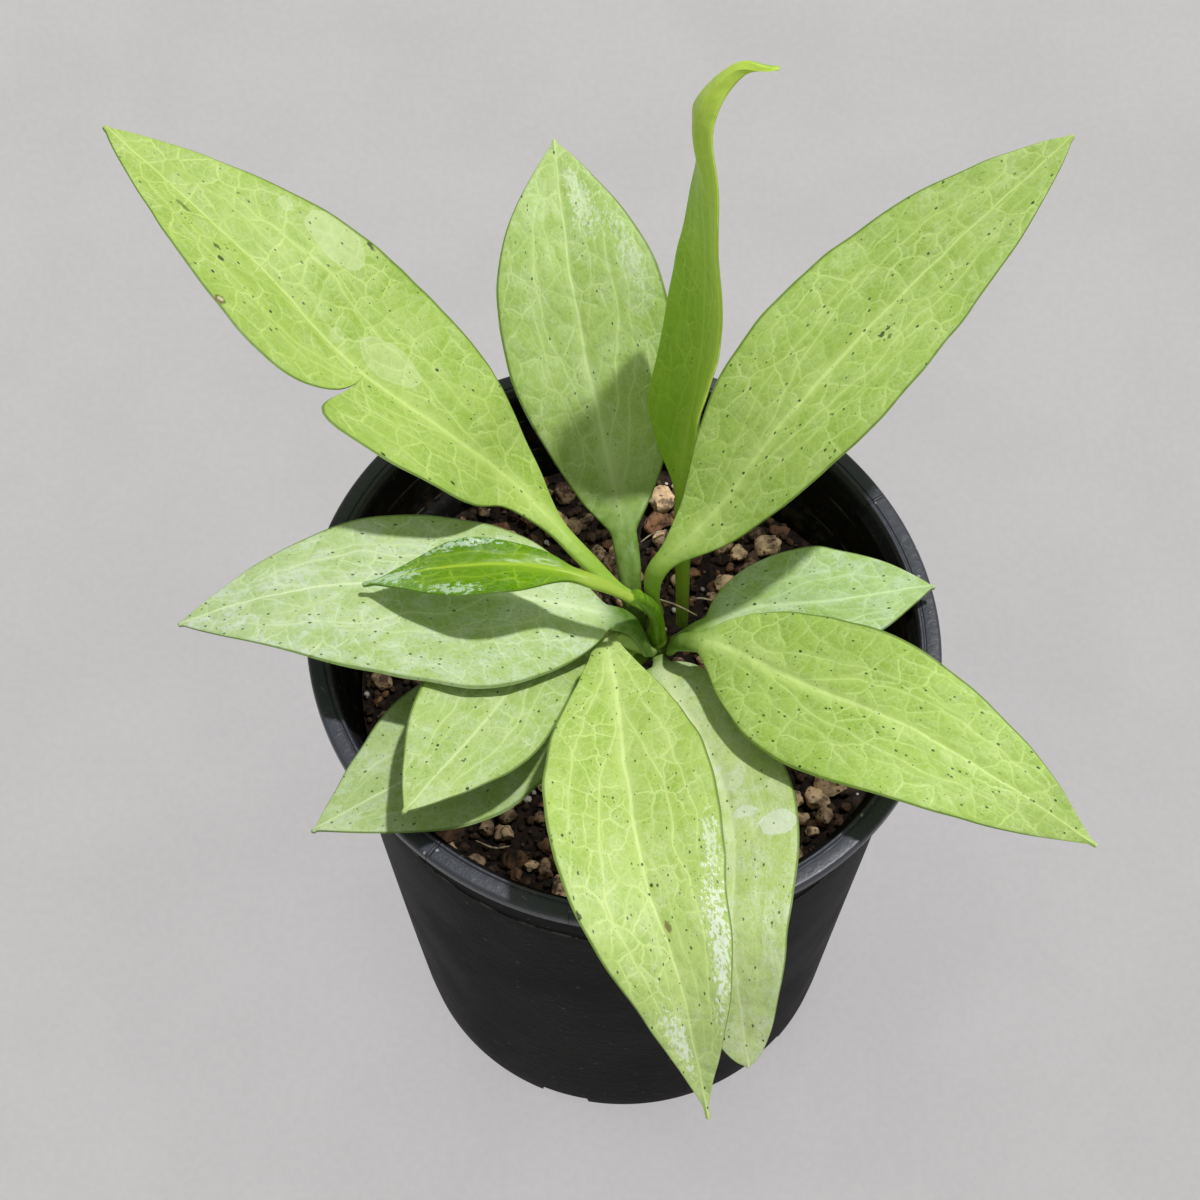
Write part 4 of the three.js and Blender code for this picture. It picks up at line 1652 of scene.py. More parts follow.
# The leaves, from the back of the plant to the front. The side veins, dried drops and scars follow
# the real plant where they show.
LEAVES = (
    LeafPlan(
        node="leaf_upper_left",
        rib=((3.5, 7, 106.5), (-1, 8.5, 109), (-6, 12, 112.5), (-18.5, 21.5, 121.5),
             (-27.5, 23.5, 131.5), (-43.5, 31, 141), (-58, 43.5, 150), (-83.5, 66.5, 157)),
        stalk=14, half=17, widest=0.46, fullness=(1.42, 0.84), right=1.08, left=0.95,
        roll=(-13,), fold=(17,), notch=Notch(0.45, 4.6, 18),
        finish=LeafFinish(
            tone=(0.93, 0.93, 0.72), netting=0.62, stains=(
                Stain(0.63, 0.78, (6.2, 3.2), 0.6), Stain(0.72, 0.8, (1.6, 1.2), 0.5),
                Stain(0.43, 0.24, (6.5, 3.0), 0.42), Stain(0.52, 0.1, (1.6, 1.2), 0.4)),
            scars=(
                Scar(0.665, -0.93, (1.15, 1.0)), Scar(0.665, -0.92, (0.6, 0.55), (0.6, 0.55, 0.34), 0.95),
                Scar(0.59, 0.95, (1.1, 0.45), (0.03, 0.04, 0.012), 0.85),
                Scar(0.735, -0.32, (1.1, 0.42), (0.03, 0.05, 0.02), 0.75),
                Scar(0.715, -0.42, (0.8, 0.45), (0.02, 0.03, 0.012), 0.85),
                Scar(0.82, -0.2, (2.0, 0.45), (0.04, 0.07, 0.02), 0.6))),
    ),
    LeafPlan(
        node="leaf_back",
        rib=((2.8, 10.2, 95), (1.5, 10.4, 101), (0.8, 15.6, 106.8), (-1.6, 29.8, 108.2),
             (-5.8, 44.1, 121), (-9.1, 58.3, 132), (-11.5, 77.2, 139.4)),
        stalk=18.5, half=14.6, widest=0.56, fullness=(0.72, 0.88), right=1.06, left=0.91,
        roll=(9,), fold=(7,), stalk_half_width=2.15,
        finish=LeafFinish(
            # The dark stalk colour, run far onto the blade, is painted shade over the stalk and the blade's
            # base.
            tone=(1.04, 1.02, 1.08), stalk=(0.08, 0.17, 0.008), stalk_and_shade_reach=0.28,
            stains=(Stain(0.62, 0.72, (6, 3.0), 0.16), Stain(0.42, -0.1, (4, 3.0), 0.12),
                    Stain(0.2, 0.1, (4, 3.5), 0.12)),
            # Painted highlights near the tip.
            painted_glints=(PaintedGlint(0.85, 0.4, (0.18, 0.5), 0.45), PaintedGlint(0.7, 0.75, (0.25, 0.25), 0.35))),
    ),
    LeafPlan(
        node="leaf_back_curled",
        rib=((10, 13, 83), (10, 13.8, 91.4), (10, 20.2, 101.3), (10.1, 27.5, 114.2),
             (13.3, 38.5, 138.5), (12.6, 41.9, 172.7), (11.5, 44.5, 188.4), (17.2, 47, 195.9),
             (22.9, 46.2, 197.5)),
        stalk=29, half=9.7, widest=0.16, fullness=(1.6, 0.84), right=0.86, left=1.15,
        roll=(39, 43, 69, 69, 72, 52), fold=(31, 25, 0, -39), heading=90,
        finish=LeafFinish(
            # The pale edge colour, the lit margin and the lit tip are painted sunlight on the curled leaf's
            # right edge and tip.
            deep=(0.25, 0.47, 0.014), pale=(0.38, 0.61, 0.03), vein=(0.48, 0.68, 0.1),
            silver=(0.4, 0.58, 0.2), silvering=0.1, tip_silver_and_sheen=0.1, speckling=0.1,
            edge=(0.5, 0.7, 0.08), netting=0.8, lit_margins=(0.0, 0.95), lit_tip=0.7),
    ),
    LeafPlan(
        node="leaf_upper_right",
        rib=((5.8, 10.6, 98.5), (4.8, 9.9, 105.5), (5.6, 10.5, 112), (14.5, 15, 121.5),
             (26.5, 24, 137), (46, 40.5, 150), (71, 58.5, 165)),
        stalk=15, half=13.2, widest=0.47, fullness=(0.88, 0.78), right=0.94, left=1.06,
        roll=(-12,), fold=(14,),
        finish=LeafFinish(
            tone=(0.97, 0.97, 0.83), stalk=(0.28, 0.44, 0.05), stalk_and_shade_reach=0.14, netting=0.62,
            speckling=0.6, scars=(
                Scar(0.555, 0.2, (0.75, 0.4), (0.02, 0.035, 0.015), 0.85),
                Scar(0.57, 0.2, (0.6, 0.38), (0.02, 0.035, 0.015), 0.85),
                Scar(0.562, 0.3, (0.6, 0.36), (0.03, 0.05, 0.02), 0.7))),
    ),
    LeafPlan(
        node="leaf_right_low",
        rib=((8.6, 8, 92.5), (13, 7, 98.5), (22, 7.5, 104.5), (34, 5.5, 110), (50.5, 6, 114)),
        stalk=9, half=10, widest=0.49, fullness=(0.45, 0.9), right=0.98, left=1.02,
        roll=(-3,), fold=(3,),
        finish=LeafFinish(tone=(1.05, 1.05, 1.4), silvering=0.6, speckling=0.5),
    ),
    LeafPlan(
        node="leaf_right",
        rib=((8, 4.9, 95.5), (9.8, 2.8, 101.5), (16.5, -1.5, 107.5), (29, -14, 117),
             (44, -25.2, 124), (61, -36.2, 123), (74, -40.5, 113)),
        stalk=11, half=12.8, widest=0.4, fullness=(0.65, 1), right=1.03, left=0.97,
        roll=(-20,), fold=(4,),
        finish=LeafFinish(tone=(1.09, 1.09, 0.95), stalk=(0.1, 0.2, 0.01), stalk_and_shade_reach=0.06, silvering=0.2,
                          tip_silver_and_sheen=0.3, netting=0.6, speckling=0.6),
    ),
    LeafPlan(
        node="leaf_left",
        rib=((3.8, 4.2, 97), (0.9, 3.6, 106.2), (-3.5, 2, 111.5), (-21, 2, 118.5),
             (-39, 1.5, 122.5), (-55.5, -1, 123), (-71, -4.5, 120)),
        stalk=15.4, half=15.8, widest=0.36, fullness=(0.7, 0.9), right=0.81, left=1.19,
        roll=(3,), fold=(5,), stalk_half_width=2.2,
        finish=LeafFinish(tone=(1.03, 0.97, 1.4), stalk=(0.08, 0.18, 0.01), stalk_and_shade_reach=0.055,
                          stalk_share=0.96, silvering=0.6, tip_silver_and_sheen=0.5, speckling=0.75),
    ),
    LeafPlan(
        node="leaf_left_lowest",
        rib=((3, 5.6, 91.5), (-3.5, -2.5, 97), (-16.5, -10, 103.5), (-32, -26, 110.5),
             (-48.5, -39, 115)),
        stalk=11, half=13.2, widest=0.51, fullness=(0.5, 1), right=0.93, left=1.07,
        roll=(3,), fold=(3,),
        finish=LeafFinish(tone=(0.86, 0.82, 1.1), silvering=0.5, tip_silver_and_sheen=0.2, netting=0.3,
                          speckling=0.9),
    ),
    LeafPlan(
        node="leaf_left_low",
        rib=((2.4, 7, 94), (-2.7, -0.9, 102.5), (-12.9, -5.6, 111.1), (-22.7, -22.5, 118),
             (-33.8, -40.2, 123.8)),
        stalk=10, half=10.9, widest=0.56, fullness=(0.9, 0.9), right=1.1, left=0.9,
        roll=(6,), fold=(7,),
        finish=LeafFinish(tone=(0.96, 0.93, 1.05), silvering=0.45, speckling=0.7),
    ),
    LeafPlan(
        node="leaf_front_low",
        rib=((6.1, 4.5, 92.5), (8, -3.5, 97), (14, -19.5, 104), (17.5, -38, 111),
             (17, -57, 113.5), (19.5, -71.5, 98)),
        stalk=2.5, half=11.2, widest=0.44, fullness=(0.3, 0.54), right=1.07, left=0.95,
        roll=(-8,), fold=(4,), vein_depth=0.04,
        right_veins=(Lateral(0.05, 0.6, 0.25, 0.9, 0.3), Lateral(0.3, 0.55, 0.22, 1.0, 0.25)),
        left_veins=(Lateral(0.07, 0.6, 0.22, 0.9, 0.3), Lateral(0.35, 0.5, 0.2, 1.0, 0.25)),
        finish=LeafFinish(
            tone=(1.2, 1.07, 1.5), stalk=(0.12, 0.23, 0.015), stalk_and_shade_reach=0.04, silvering=0.45,
            netting=0.25, midrib=0.45, speckling=0.5, stains=(
                Stain(0.52, -0.68, (2.2, 3.0), 0.6), Stain(0.48, -0.25, (1.1, 2.0), 0.55),
                Stain(0.35, 0.08, (1.0, 1.5), 0.45), Stain(0.39, -0.14, (2.3, 2.2), 0.3))),
    ),
    LeafPlan(
        node="leaf_front",
        rib=((4.4, 4.4, 95.5), (0.8, 3.2, 101), (-2.4, 1.4, 106), (-1, -15, 116),
             (0.5, -34.5, 125), (3.5, -55, 129), (8.5, -69, 124), (13, -83, 105)),
        stalk=7, half=13.8, widest=0.52, fullness=(1.55, 1.2), right=1, left=1,
        roll=(-2,), fold=(14,),
        right_veins=(Lateral(0.06, 0.78, 0.2, 0.62, 0.8), Lateral(0.3, 0.7, 0.24, 1.0, 0.85),
                     Lateral(0.6, 0.45, 0.25, 1.0, 0.5)),
        left_veins=(Lateral(0.03, 0.72, 0.18, 0.7, 0.8), Lateral(0.24, 0.62, 0.24, 0.95, 0.85),
                    Lateral(0.55, 0.42, 0.22, 1.0, 0.5)),
        finish=LeafFinish(
            # The near-black stalk colour is painted shade over the stalk in the gap under the crown.
            tone=(1.08, 1.04, 1.0), stalk=(0.03, 0.07, 0.003), stalk_and_shade_reach=-0.005, stalk_share=0.98,
            silvering=0.2, tip_silver_and_sheen=0.8, netting=0.56, speckling=0.8,
            # Painted highlights along the margins.
            painted_glints=(PaintedGlint(0.74, -0.8, (0.2, 0.34), 0.9), PaintedGlint(0.87, 0.42, (0.12, 0.5), 0.8),
                    PaintedGlint(0.6, -0.84, (0.1, 0.2), 0.6)),
            scars=(Scar(0.655, 0.96, (0.7, 0.4), (0.025, 0.03, 0.01), 0.9),
                   Scar(0.7, -0.09, (1.2, 0.5), (0.16, 0.08, 0.03), 0.7))),
    ),
    LeafPlan(
        node="leaf_young",
        rib=((0.9, -0.2, 121.4), (-4, -0.4, 125.9), (-13.1, 0.8, 128.8), (-26.1, 0.2, 129.8),
             (-41.2, -0.7, 126)),
        stalk=8.5, half=5.9, widest=0.47, fullness=(1.25, 1.3), right=0.85, left=1.15,
        roll=(-3,), fold=(13,), stalk_half_width=1.4, vein_depth=0.22, puckering=0.12,
        right_veins=(Lateral(0.02, 0.5, 0.25, 1.0, 0.5), Lateral(0.3, 0.6, 0.2, 0.8, 0.2),
                     Lateral(0.55, 0.6, 0.2, 0.9, 0.2)),
        left_veins=(Lateral(0.04, 0.45, 0.25, 1.0, 0.5), Lateral(0.35, 0.6, 0.2, 0.8, 0.2),
                    Lateral(0.6, 0.6, 0.2, 0.9, 0.2)),
        finish=LeafFinish(
            deep=(0.08, 0.2, 0.0001), pale=(0.15, 0.32, 0.0003), vein=(0.38, 0.56, 0.05),
            # A greener colour for the painted highlights.
            highlight_paint=(0.6, 0.76, 0.6), silver=(0.3, 0.48, 0.26), stalk=(0.42, 0.56, 0.09), stalk_and_shade_reach=0.1,
            silvering=0.0, tip_silver_and_sheen=0.4, speckling=0.08, midrib=0.9,
            roughness=0.27, sheen=0.12, gloss=0.03, slot="young_leaf",
            # Painted highlights at the tip and along both margins.
            painted_glints=(PaintedGlint(0.92, 0.0, (0.34, 1.4), 0.65), PaintedGlint(0.55, 0.85, (0.35, 0.35), 0.7),
                    PaintedGlint(0.6, -0.8, (0.25, 0.35), 0.6))),
    ),
)


# --- stem ---


@dataclass
class Stem:
    """The short main stem and its green shoot, grown as one piece, in millimetres."""

    route: tuple[Point, ...] = (
        (5.4, 7.8, 80), (5.4, 7.6, 90), (5.5, 7.2, 97), (5.4, 6.4, 103),
        (4.7, 4.8, 109), (3.3, 2.8, 115), (1.6, 0.7, 120.2))
    root_radius: float = 2.0
    shoot_radius: float = 1.25
    nodes: tuple[float, ...] = (0.36, 0.955)
    swelling: float = 0.22
    sides: int = 40
    steps: int = 130

    def radius(self, t: Array) -> Array:
        """The stem's radius along it, with its swollen nodes.

        Args:
            t: Places from 0 at the root to 1 at the shoot's end.

        Returns:
            The radii.
        """
        share = smoothstep(0.25, 0.6, t)
        plain = self.root_radius * (1 - share) + self.shoot_radius * share
        for at in self.nodes:
            plain = plain + self.swelling * np.exp(-(((t - at) / 0.022) ** 2))
            plain = plain - 0.1 * np.exp(-(((t - at - 0.02) / 0.006) ** 2))
        return plain * (1 - 0.12 * smoothstep(0.7, 0.94, t) - 0.25 * smoothstep(0.97, 1.0, t))

    def build(self) -> Piece:
        """Makes, dresses and settles the stem."""
        centre, _ = Route(self.route).sampled(self.steps)
        t = np.linspace(0.0, 1.0, self.steps)
        along = unit(np.gradient(centre, axis=0))
        across = unit(np.array([0.0, 1.0, 0.0]) - along[:, 1:2] * along)
        other = np.cross(along, across)
        angle = np.linspace(0.0, 2 * math.pi, self.sides, endpoint=False)
        lobes = 1 + 0.03 * np.sin(3 * angle)[None, :] * np.cos(9 * t)[:, None]
        reach = self.radius(t)[:, None] * lobes
        rings = centre[:, None] + across[:, None] * (np.cos(angle)[None, :] * reach)[..., None]
        rings = rings + other[:, None] * (np.sin(angle)[None, :] * reach)[..., None]
        finish = StemFinish()
        piece = Surface.loft(rings).piece("stem_shoot", finish.material("stem_skin"))
        settle(piece, finish, "stem")
        return piece


# --- pot ---


@dataclass
class Pot:
    """The moulded nursery pot, in millimetres."""

    height: float = 110.0
    rim_radius: float = 52.5
    rim_width: float = 3.5
    rim_drop: float = 2.2
    neck_radius: float = 48.8
    shoulder_height: float = 93.0
    shoulder_radius: float = 48.0
    shoulder_depth: float = 1.6
    base_radius: float = 37.5
    wall: float = 1.3
    floor: float = 2.0
    oval_along: float = -0.013
    oval_across: float = -0.025
    segments: int = 288
    drains: int = 6
    first_drain: float = -106.5
    drain_width: float = 9.5
    drain_height: float = 2.7
    drain_inner: float = 31.0
    rim_starts: float = 107.85
    foot_rounding: float = 1.2
    rings_at: tuple[float, ...] = (93.0, 102.0)
    lip_steps: tuple[Reach, ...] = (
        (1.5, -0.02), (1.1, -0.06), (0.95, -0.28), (0.75, -0.28), (0.62, -0.02), (0.5, 0.1), (0.25, 0.1),
        (0.08, -0.05), (0.0, -0.4), (-0.15, -1.4))

    def outer_radius(self, z: float) -> float:
        """The outer wall's radius, before the rim is pressed out of round.

        Args:
            z: The height.

        Returns:
            The radius.
        """
        if z < self.shoulder_height:
            return self.base_radius + (self.shoulder_radius - self.base_radius) * z / self.shoulder_height
        share = (z - self.shoulder_height) / (self.height - self.shoulder_height)
        return self.shoulder_radius + (self.neck_radius - self.shoulder_radius) * share

    def inner_radius(self, z: float) -> float:
        """The inner wall's radius at a height."""
        ledge = self.shoulder_depth * float(smoothstep(68.0, 90.0, np.array(z)))
        return self.outer_radius(z) - self.wall - ledge * (z < self.shoulder_height)

    def oval(self, angle: Array, z: Array) -> Array:
        """How much the wall is pressed out of round at an angle and height."""
        grown = smoothstep(0.0, self.height, z)
        return 1 + grown * (self.oval_along * np.cos(2 * angle) + self.oval_across * np.sin(2 * angle))

    def profile(self) -> list[Reach]:
        """The wall's section as radius and height, from the underside's centre round to the inside."""
        top, lip, rim = self.height, self.rim_radius - self.rim_width, self.rim_radius
        under, outer, inner = top - self.rim_drop, self.outer_radius, self.inner_radius
        foot = self.base_radius - self.foot_rounding
        outline = [(0.0, 0.0), (foot, 0.0), *self._rounded(foot, 0.0, self.foot_rounding)]
        for z in np.arange(6.0, 105.0, 3.0):
            outline.append((outer(float(z)), float(z)))
            if z in self.rings_at:
                outline += [(outer(z + up) + out, z + up)
                            for up, out in ((0.9, 0.0), (1.2, 0.16), (1.5, 0.0))]
        outline += [(outer(under - 1.6), under - 1.6), (outer(under - 0.7) + 0.12, under - 0.7),
                    (outer(under) + 0.7, under), (rim - 0.7, under), *self._rounded(rim - 0.5, under, 0.5)]
        outline += [(rim - 0.6 + 0.6 * math.cos(a), top - 0.6 + 0.6 * math.sin(a))
                    for a in (0.0, 0.4, 0.8, 1.2, 1.57)]
        outline += [(lip + out, top + up) for out, up in self.lip_steps]
        outline += [(inner(z), z) for z in (107.0, 104.0, 100.0, 96.0, 93.9)]
        outline += [(inner(93.0) - 0.25, 93.3), (inner(92.9) + 0.35, 93.0), (inner(92.9), 92.6)]
        outline += [(inner(z), z) for z in (88.0, 80.0, 72.0, 50.0, 25.0, 6.0)]
        return outline + [(inner(self.floor) - 1.5, self.floor), (0.0, self.floor)]

    @staticmethod
    def _rounded(r: float, z: float, size: float) -> list[Reach]:
        """A rounded outer edge at the foot of a wall, from its underside to its side."""
        return [(r + size * math.sin(a), z + size - size * math.cos(a)) for a in (0.5, 1.0, 1.57)]

    def surface(self) -> Surface:
        """The turned wall, pressed out of round."""
        outline = self.profile()
        angle = np.linspace(0.0, 2 * math.pi, self.segments, endpoint=False)
        points: list[Array] = [np.array([[0.0, 0.0, outline[0][1]]])]
        for r, z in outline[1:-1]:
            points.append(ring(r * self.oval(angle, np.full_like(angle, z)), angle, z))
        points.append(np.array([[0.0, 0.0, outline[-1][1]]]))
        n, rings = self.segments, len(outline) - 2
        faces: Faces = []
        for j in range(n):
            k = (j + 1) % n
            faces.append((0, 1 + k, 1 + j))
            for i in range(rings - 1):
                a, b = 1 + i * n + j, 1 + i * n + k
                faces.append((a, b, b + n, a + n))
            last = 1 + (rings - 1) * n
            faces.append((last + j, last + k, last + n))
        return Surface(np.concatenate(points), faces)

    def build(self) -> Piece:
        """Makes the pot, cuts its drains, and dresses and settles it."""
        finish = PotFinish()
        piece = self.surface().piece("nursery_pot", finish.material("wall_plastic"), sharp=38.0)
        piece.data.materials.append(PotFinish(gloss=0.5, rough=0.31).material("rim_plastic"))
        cutters = [self._drain(index) for index in range(self.drains)]
        for cutter in cutters:
            cut = piece.modifiers.new("drain", "BOOLEAN")
            cut.operation, cut.solver, cut.object = "DIFFERENCE", "EXACT", cutter
        graph = bpy.context.evaluated_depsgraph_get()
        piece.data = bpy.data.meshes.new_from_object(piece.evaluated_get(graph))
        piece.modifiers.clear()
        for cutter in cutters:
            bpy.data.objects.remove(cutter)
        for face in piece.data.polygons:
            face.material_index = int(face.center.z > self.rim_starts * MM)
        settle(piece, finish, "pot")
        return piece

    def _drain(self, index: int) -> Piece:
        """One block that cuts a gap through the edge of the base.

        Args:
            index: Which gap, counted round the base.

        Returns:
            The block, which is removed after the cut.
        """
        turn = math.radians(self.first_drain + index * 360 / self.drains)
        shape = bmesh.new()
        bmesh.ops.create_cube(shape, size=1.0)
        depth = self.base_radius + 4 - self.drain_inner
        middle = self.drain_inner + depth / 2
        for vert in shape.verts:
            x, y, z = vert.co
            taper = 1 - 0.12 * (z + 0.5)
            x, y, z = middle + x * depth, y * self.drain_width * taper, z * self.drain_height * 2
            vert.co = (x * math.cos(turn) - y * math.sin(turn), x * math.sin(turn) + y * math.cos(turn), z)
        mesh = bpy.data.meshes.new("drain_block")
        bmesh.ops.scale(shape, vec=(MM, MM, MM), verts=shape.verts)
        shape.to_mesh(mesh)
        shape.free()
        made = bpy.data.objects.new("drain_block", mesh)
        bpy.context.scene.collection.objects.link(made)
        return made


# --- soil ---


@dataclass(frozen=True)
class GrainKind:
    """One kind of loose piece in the mix. Radii are in millimetres."""

    title: str
    count: int
    smallest: float
    largest: float
    squash: tuple[float, float]
    lumps: float
    sunk: float
    finish: GrainFinish
    detail: int = 2
    apart: float = 0.75
    facets: int = 8


@dataclass
class Soil:
    """The bark, peat and pumice mix: a crumbly bed with loose pieces on it, in millimetres."""

    pot: Pot
    kept_clear: tuple[tuple[Reach, float, float], ...] = (((5.4, 7.6), 2.4, 1.6), ((10.0, 13.5), 2.0, 1.4))
    level: float = 90.0
    bottom: float = 2.9
    gap: float = 0.35
    swell: float = 0.9
    rings: int = 72
    spokes: int = 200
    fibre_radius: float = 0.16
    fibre_sides: int = 8
    fibre_steps: int = 24
    fibres: tuple[tuple[Point, ...], ...] = (
        ((5.4, 13.9, 97), (9, 12.9, 96.3), (12.4, 11.7, 95)),
        ((11.3, 15.3, 94), (13, 15.4, 94.4), (15, 15.1, 94.2)),
        ((3, 27.6, 92.6), (5, 28.8, 93.3), (7.4, 29.8, 93)),
        ((-24, -30, 93.6), (-21, -31.5, 94), (-18.5, -31, 93.6)),
        ((27, 24, 92), (30, 23, 92.6), (32.5, 24.4, 92.4)),
    )
    kinds: tuple[GrainKind, ...] = (
        GrainKind("pumice_pellets", 210, 1.2, 3.0, (0.65, 0.95), 0.3, 0.2,
                  GrainFinish(), detail=3, facets=9),
        GrainKind("bark_chips", 260, 0.9, 3.2, (0.25, 0.6), 0.36, 0.25,
                  GrainFinish(dark=(0.012, 0.007, 0.004), light=(0.3, 0.15, 0.075), streak=0.4,
                              pitting=0.6, pit_share=0.35), apart=0.5, detail=3, facets=12),
        GrainKind("peat_crumbs", 1100, 0.35, 1.1, (0.5, 1.0), 0.34, 0.2,
                  GrainFinish(dark=(0.006, 0.004, 0.0025), light=(0.12, 0.07, 0.04)), apart=0.35, facets=7),
        GrainKind("white_bits", 110, 0.25, 0.75, (0.6, 1.0), 0.25, 0.1,
                  GrainFinish(dark=(0.45, 0.4, 0.33), light=(0.8, 0.77, 0.7), pitting=0.3), facets=6),
    )

    def height(self, x: Array, y: Array) -> Array:
        """The broad shape of the soil's top: pushed up against the right wall and the front.

        Args:
            x: Places to the right.
            y: Places to the back.

        Returns:
            The heights.
        """
        waves = np.sin(x * 0.13 + 1.3) * np.cos(y * 0.16) + 0.4 * np.sin(x * 0.27 - y * 0.24)
        bank = 5 * smoothstep(34.0, 47.0, x)
        front = 2.5 * smoothstep(20.0, 46.0, -y)
        return self.level + self.swell * waves + bank + front

    def reach(self, angle: Array, z: float) -> Array:
        """The soil's radius at an angle and height, a little inside the wall."""
        return (self.pot.inner_radius(z) - self.gap) * self.pot.oval(angle, np.full_like(angle, z))

    def bed(self) -> Surface:
        """The crumbly bed as one closed solid."""
        angle = np.linspace(0.0, 2 * math.pi, self.spokes, endpoint=False)
        rings = []
        low = self.bottom
        for z, share in ((low, 0.02), (low, 0.9), (5.0, 1.0), (30.0, 1.0), (60.0, 1.0), (86.0, 1.0)):
            rings.append(ring(self.reach(angle, z) * share, angle, z))
        for i in range(self.rings):
            share = 0.998 * (1 - i / self.rings)
            r = self.reach(angle, self.level) * share
            flat = ring(r, angle, 0.0)
            crumbs = 0.55 * lift_noise(flat, 2.4, 1.0) + 0.3 * lift_noise(flat, 0.9, 2.0)
            rings.append(ring(r, angle, self.height(*flat.T[:2]) - 0.5 + crumbs))
        solid = Surface.loft(np.array(rings))
        crumb = lift_noise(solid.points, 1.7, 4.0) * 0.5 + 0.3
        solid.kept["grain_draw"] = np.stack([crumb, 0 * crumb, 0 * crumb], -1)
        return solid

    def scattered(self, kind: GrainKind, taken: list[Spot],
                  draws: np.random.RandomState) -> list[Spot]:
        """Finds free spots for one kind of piece.

        Args:
            kind: The kind.
            taken: Spots already used, as x, y and radius; the new ones are added to it.
            draws: The seeded random draws.

        Returns:
            The new spots.
        """
        spots: list[Spot] = []
        tries = 0
        while len(spots) < kind.count and tries < kind.count * 30:
            tries += 1
            size = kind.smallest + (kind.largest - kind.smallest) * draws.rand() ** 1.7
            angle = draws.rand() * 2 * math.pi
            edge = float(self.reach(np.array([angle]), self.level)[0]) - size * 0.9
            r = edge * math.sqrt(draws.rand())
            x, y = r * math.cos(angle), r * math.sin(angle)
            if any(math.dist((x, y), at) < bare + size * share for at, bare, share in self.kept_clear):
                continue
            near = [t for t in taken if abs(t[0] - x) < 7 and abs(t[1] - y) < 7]
            if any(math.dist((x, y), t[:2]) < kind.apart * (size + t[2]) for t in near):
                continue
            spots.append((x, y, size))
            taken.append((x, y, size))
        return spots

    def grains(self, kind: GrainKind, spots: list[Spot],
               draws: np.random.RandomState) -> Surface:
        """All the pieces of one kind, each lumpy and turned its own way.

        Args:
            kind: The kind.
            spots: Where they lie.
            draws: The seeded random draws.

        Returns:
            The surface.
        """
        ball = bmesh.new()
        bmesh.ops.create_icosphere(ball, subdivisions=kind.detail, radius=1.0)
        sphere = np.array([vert.co[:] for vert in ball.verts])
        cover = [tuple(vert.index for vert in face.verts) for face in ball.faces]
        ball.free()
        points, faces, kept = [], [], []
        for index, (x, y, size) in enumerate(spots):
            seed = index * 0.37 + kind.smallest
            lumps = lift_noise(sphere, 0.9, seed) + 0.45 * lift_noise(sphere, 0.32, seed)
            swell = (1 + kind.lumps * lumps) * self._broken(sphere, kind.facets, draws)
            shape = np.array([1.0, draws.uniform(*kind.squash) ** 0.5, draws.uniform(*kind.squash)])
            lump = sphere * swell[:, None] * shape * size
            lump = lump @ self._turn(draws).T
            z = float(self.height(np.array(x), np.array(y))) - 0.4 + size * shape[2] * (1 - kind.sunk)
            first = len(points) * len(sphere)
            points.append(lump + (x, y, z))
            faces += [tuple(first + vert for vert in face) for face in cover]
            kept.append(np.tile(draws.rand(3), (len(sphere), 1)))
        return Surface(np.concatenate(points), faces, {"grain_draw": np.concatenate(kept)})

    @staticmethod
    def _broken(sphere: Array, facets: int, draws: np.random.RandomState) -> Array:
        """How far flat breaks cut into a round grain.

        Args:
            sphere: Directions from the grain's middle.
            facets: How many breaks.
            draws: The seeded random draws.

        Returns:
            The reach in each direction, up to 1.
        """
        ways = unit(draws.normal(size=(facets, 3)))
        toward = np.maximum(sphere @ ways.T, 1e-3)
        return np.minimum((draws.uniform(0.62, 0.96, facets) / toward).min(axis=1), 1.0)

    @staticmethod
    def _turn(draws: np.random.RandomState) -> Array:
        """A turn about Z with a small random tilt.

        Args:
            draws: The seeded random draws.

        Returns:
            The turn's matrix.
        """
        turn, tilt, way = draws.rand() * 2 * math.pi, draws.uniform(-0.7, 0.7), draws.rand() * math.pi
        about = Matrix.Rotation
        return np.array(about(way, 3, "Z")) @ np.array(about(tilt, 3, "X")) @ np.array(about(turn, 3, "Z"))

    def fibre_strands(self) -> Surface:
        """Thin dry root fibres and straws that lie over the soil."""
        angle = np.linspace(0.0, 2 * math.pi, self.fibre_sides, endpoint=False)
        points: list[Array] = []
        faces: Faces = []
        for strand in self.fibres:
            centre, _ = Route(strand).sampled(self.fibre_steps)
            taper = self.fibre_radius * (1.1 - 0.5 * np.linspace(-1.0, 1.0, self.fibre_steps) ** 2)
            rings = np.repeat(centre[:, None], self.fibre_sides, axis=1)
            rings[..., 1] += np.cos(angle)[None, :] * taper[:, None]
            rings[..., 2] += np.sin(angle)[None, :] * taper[:, None]
            made = Surface.loft(rings)
            first = sum(len(rows) for rows in points)
            points.append(made.points)
            faces += [tuple(first + vert for vert in face) for face in made.faces]
        whole = np.concatenate(points)
        return Surface(whole, faces, {"grain_draw": np.tile((0.75, 0.2, 0.5), (len(whole), 1))})

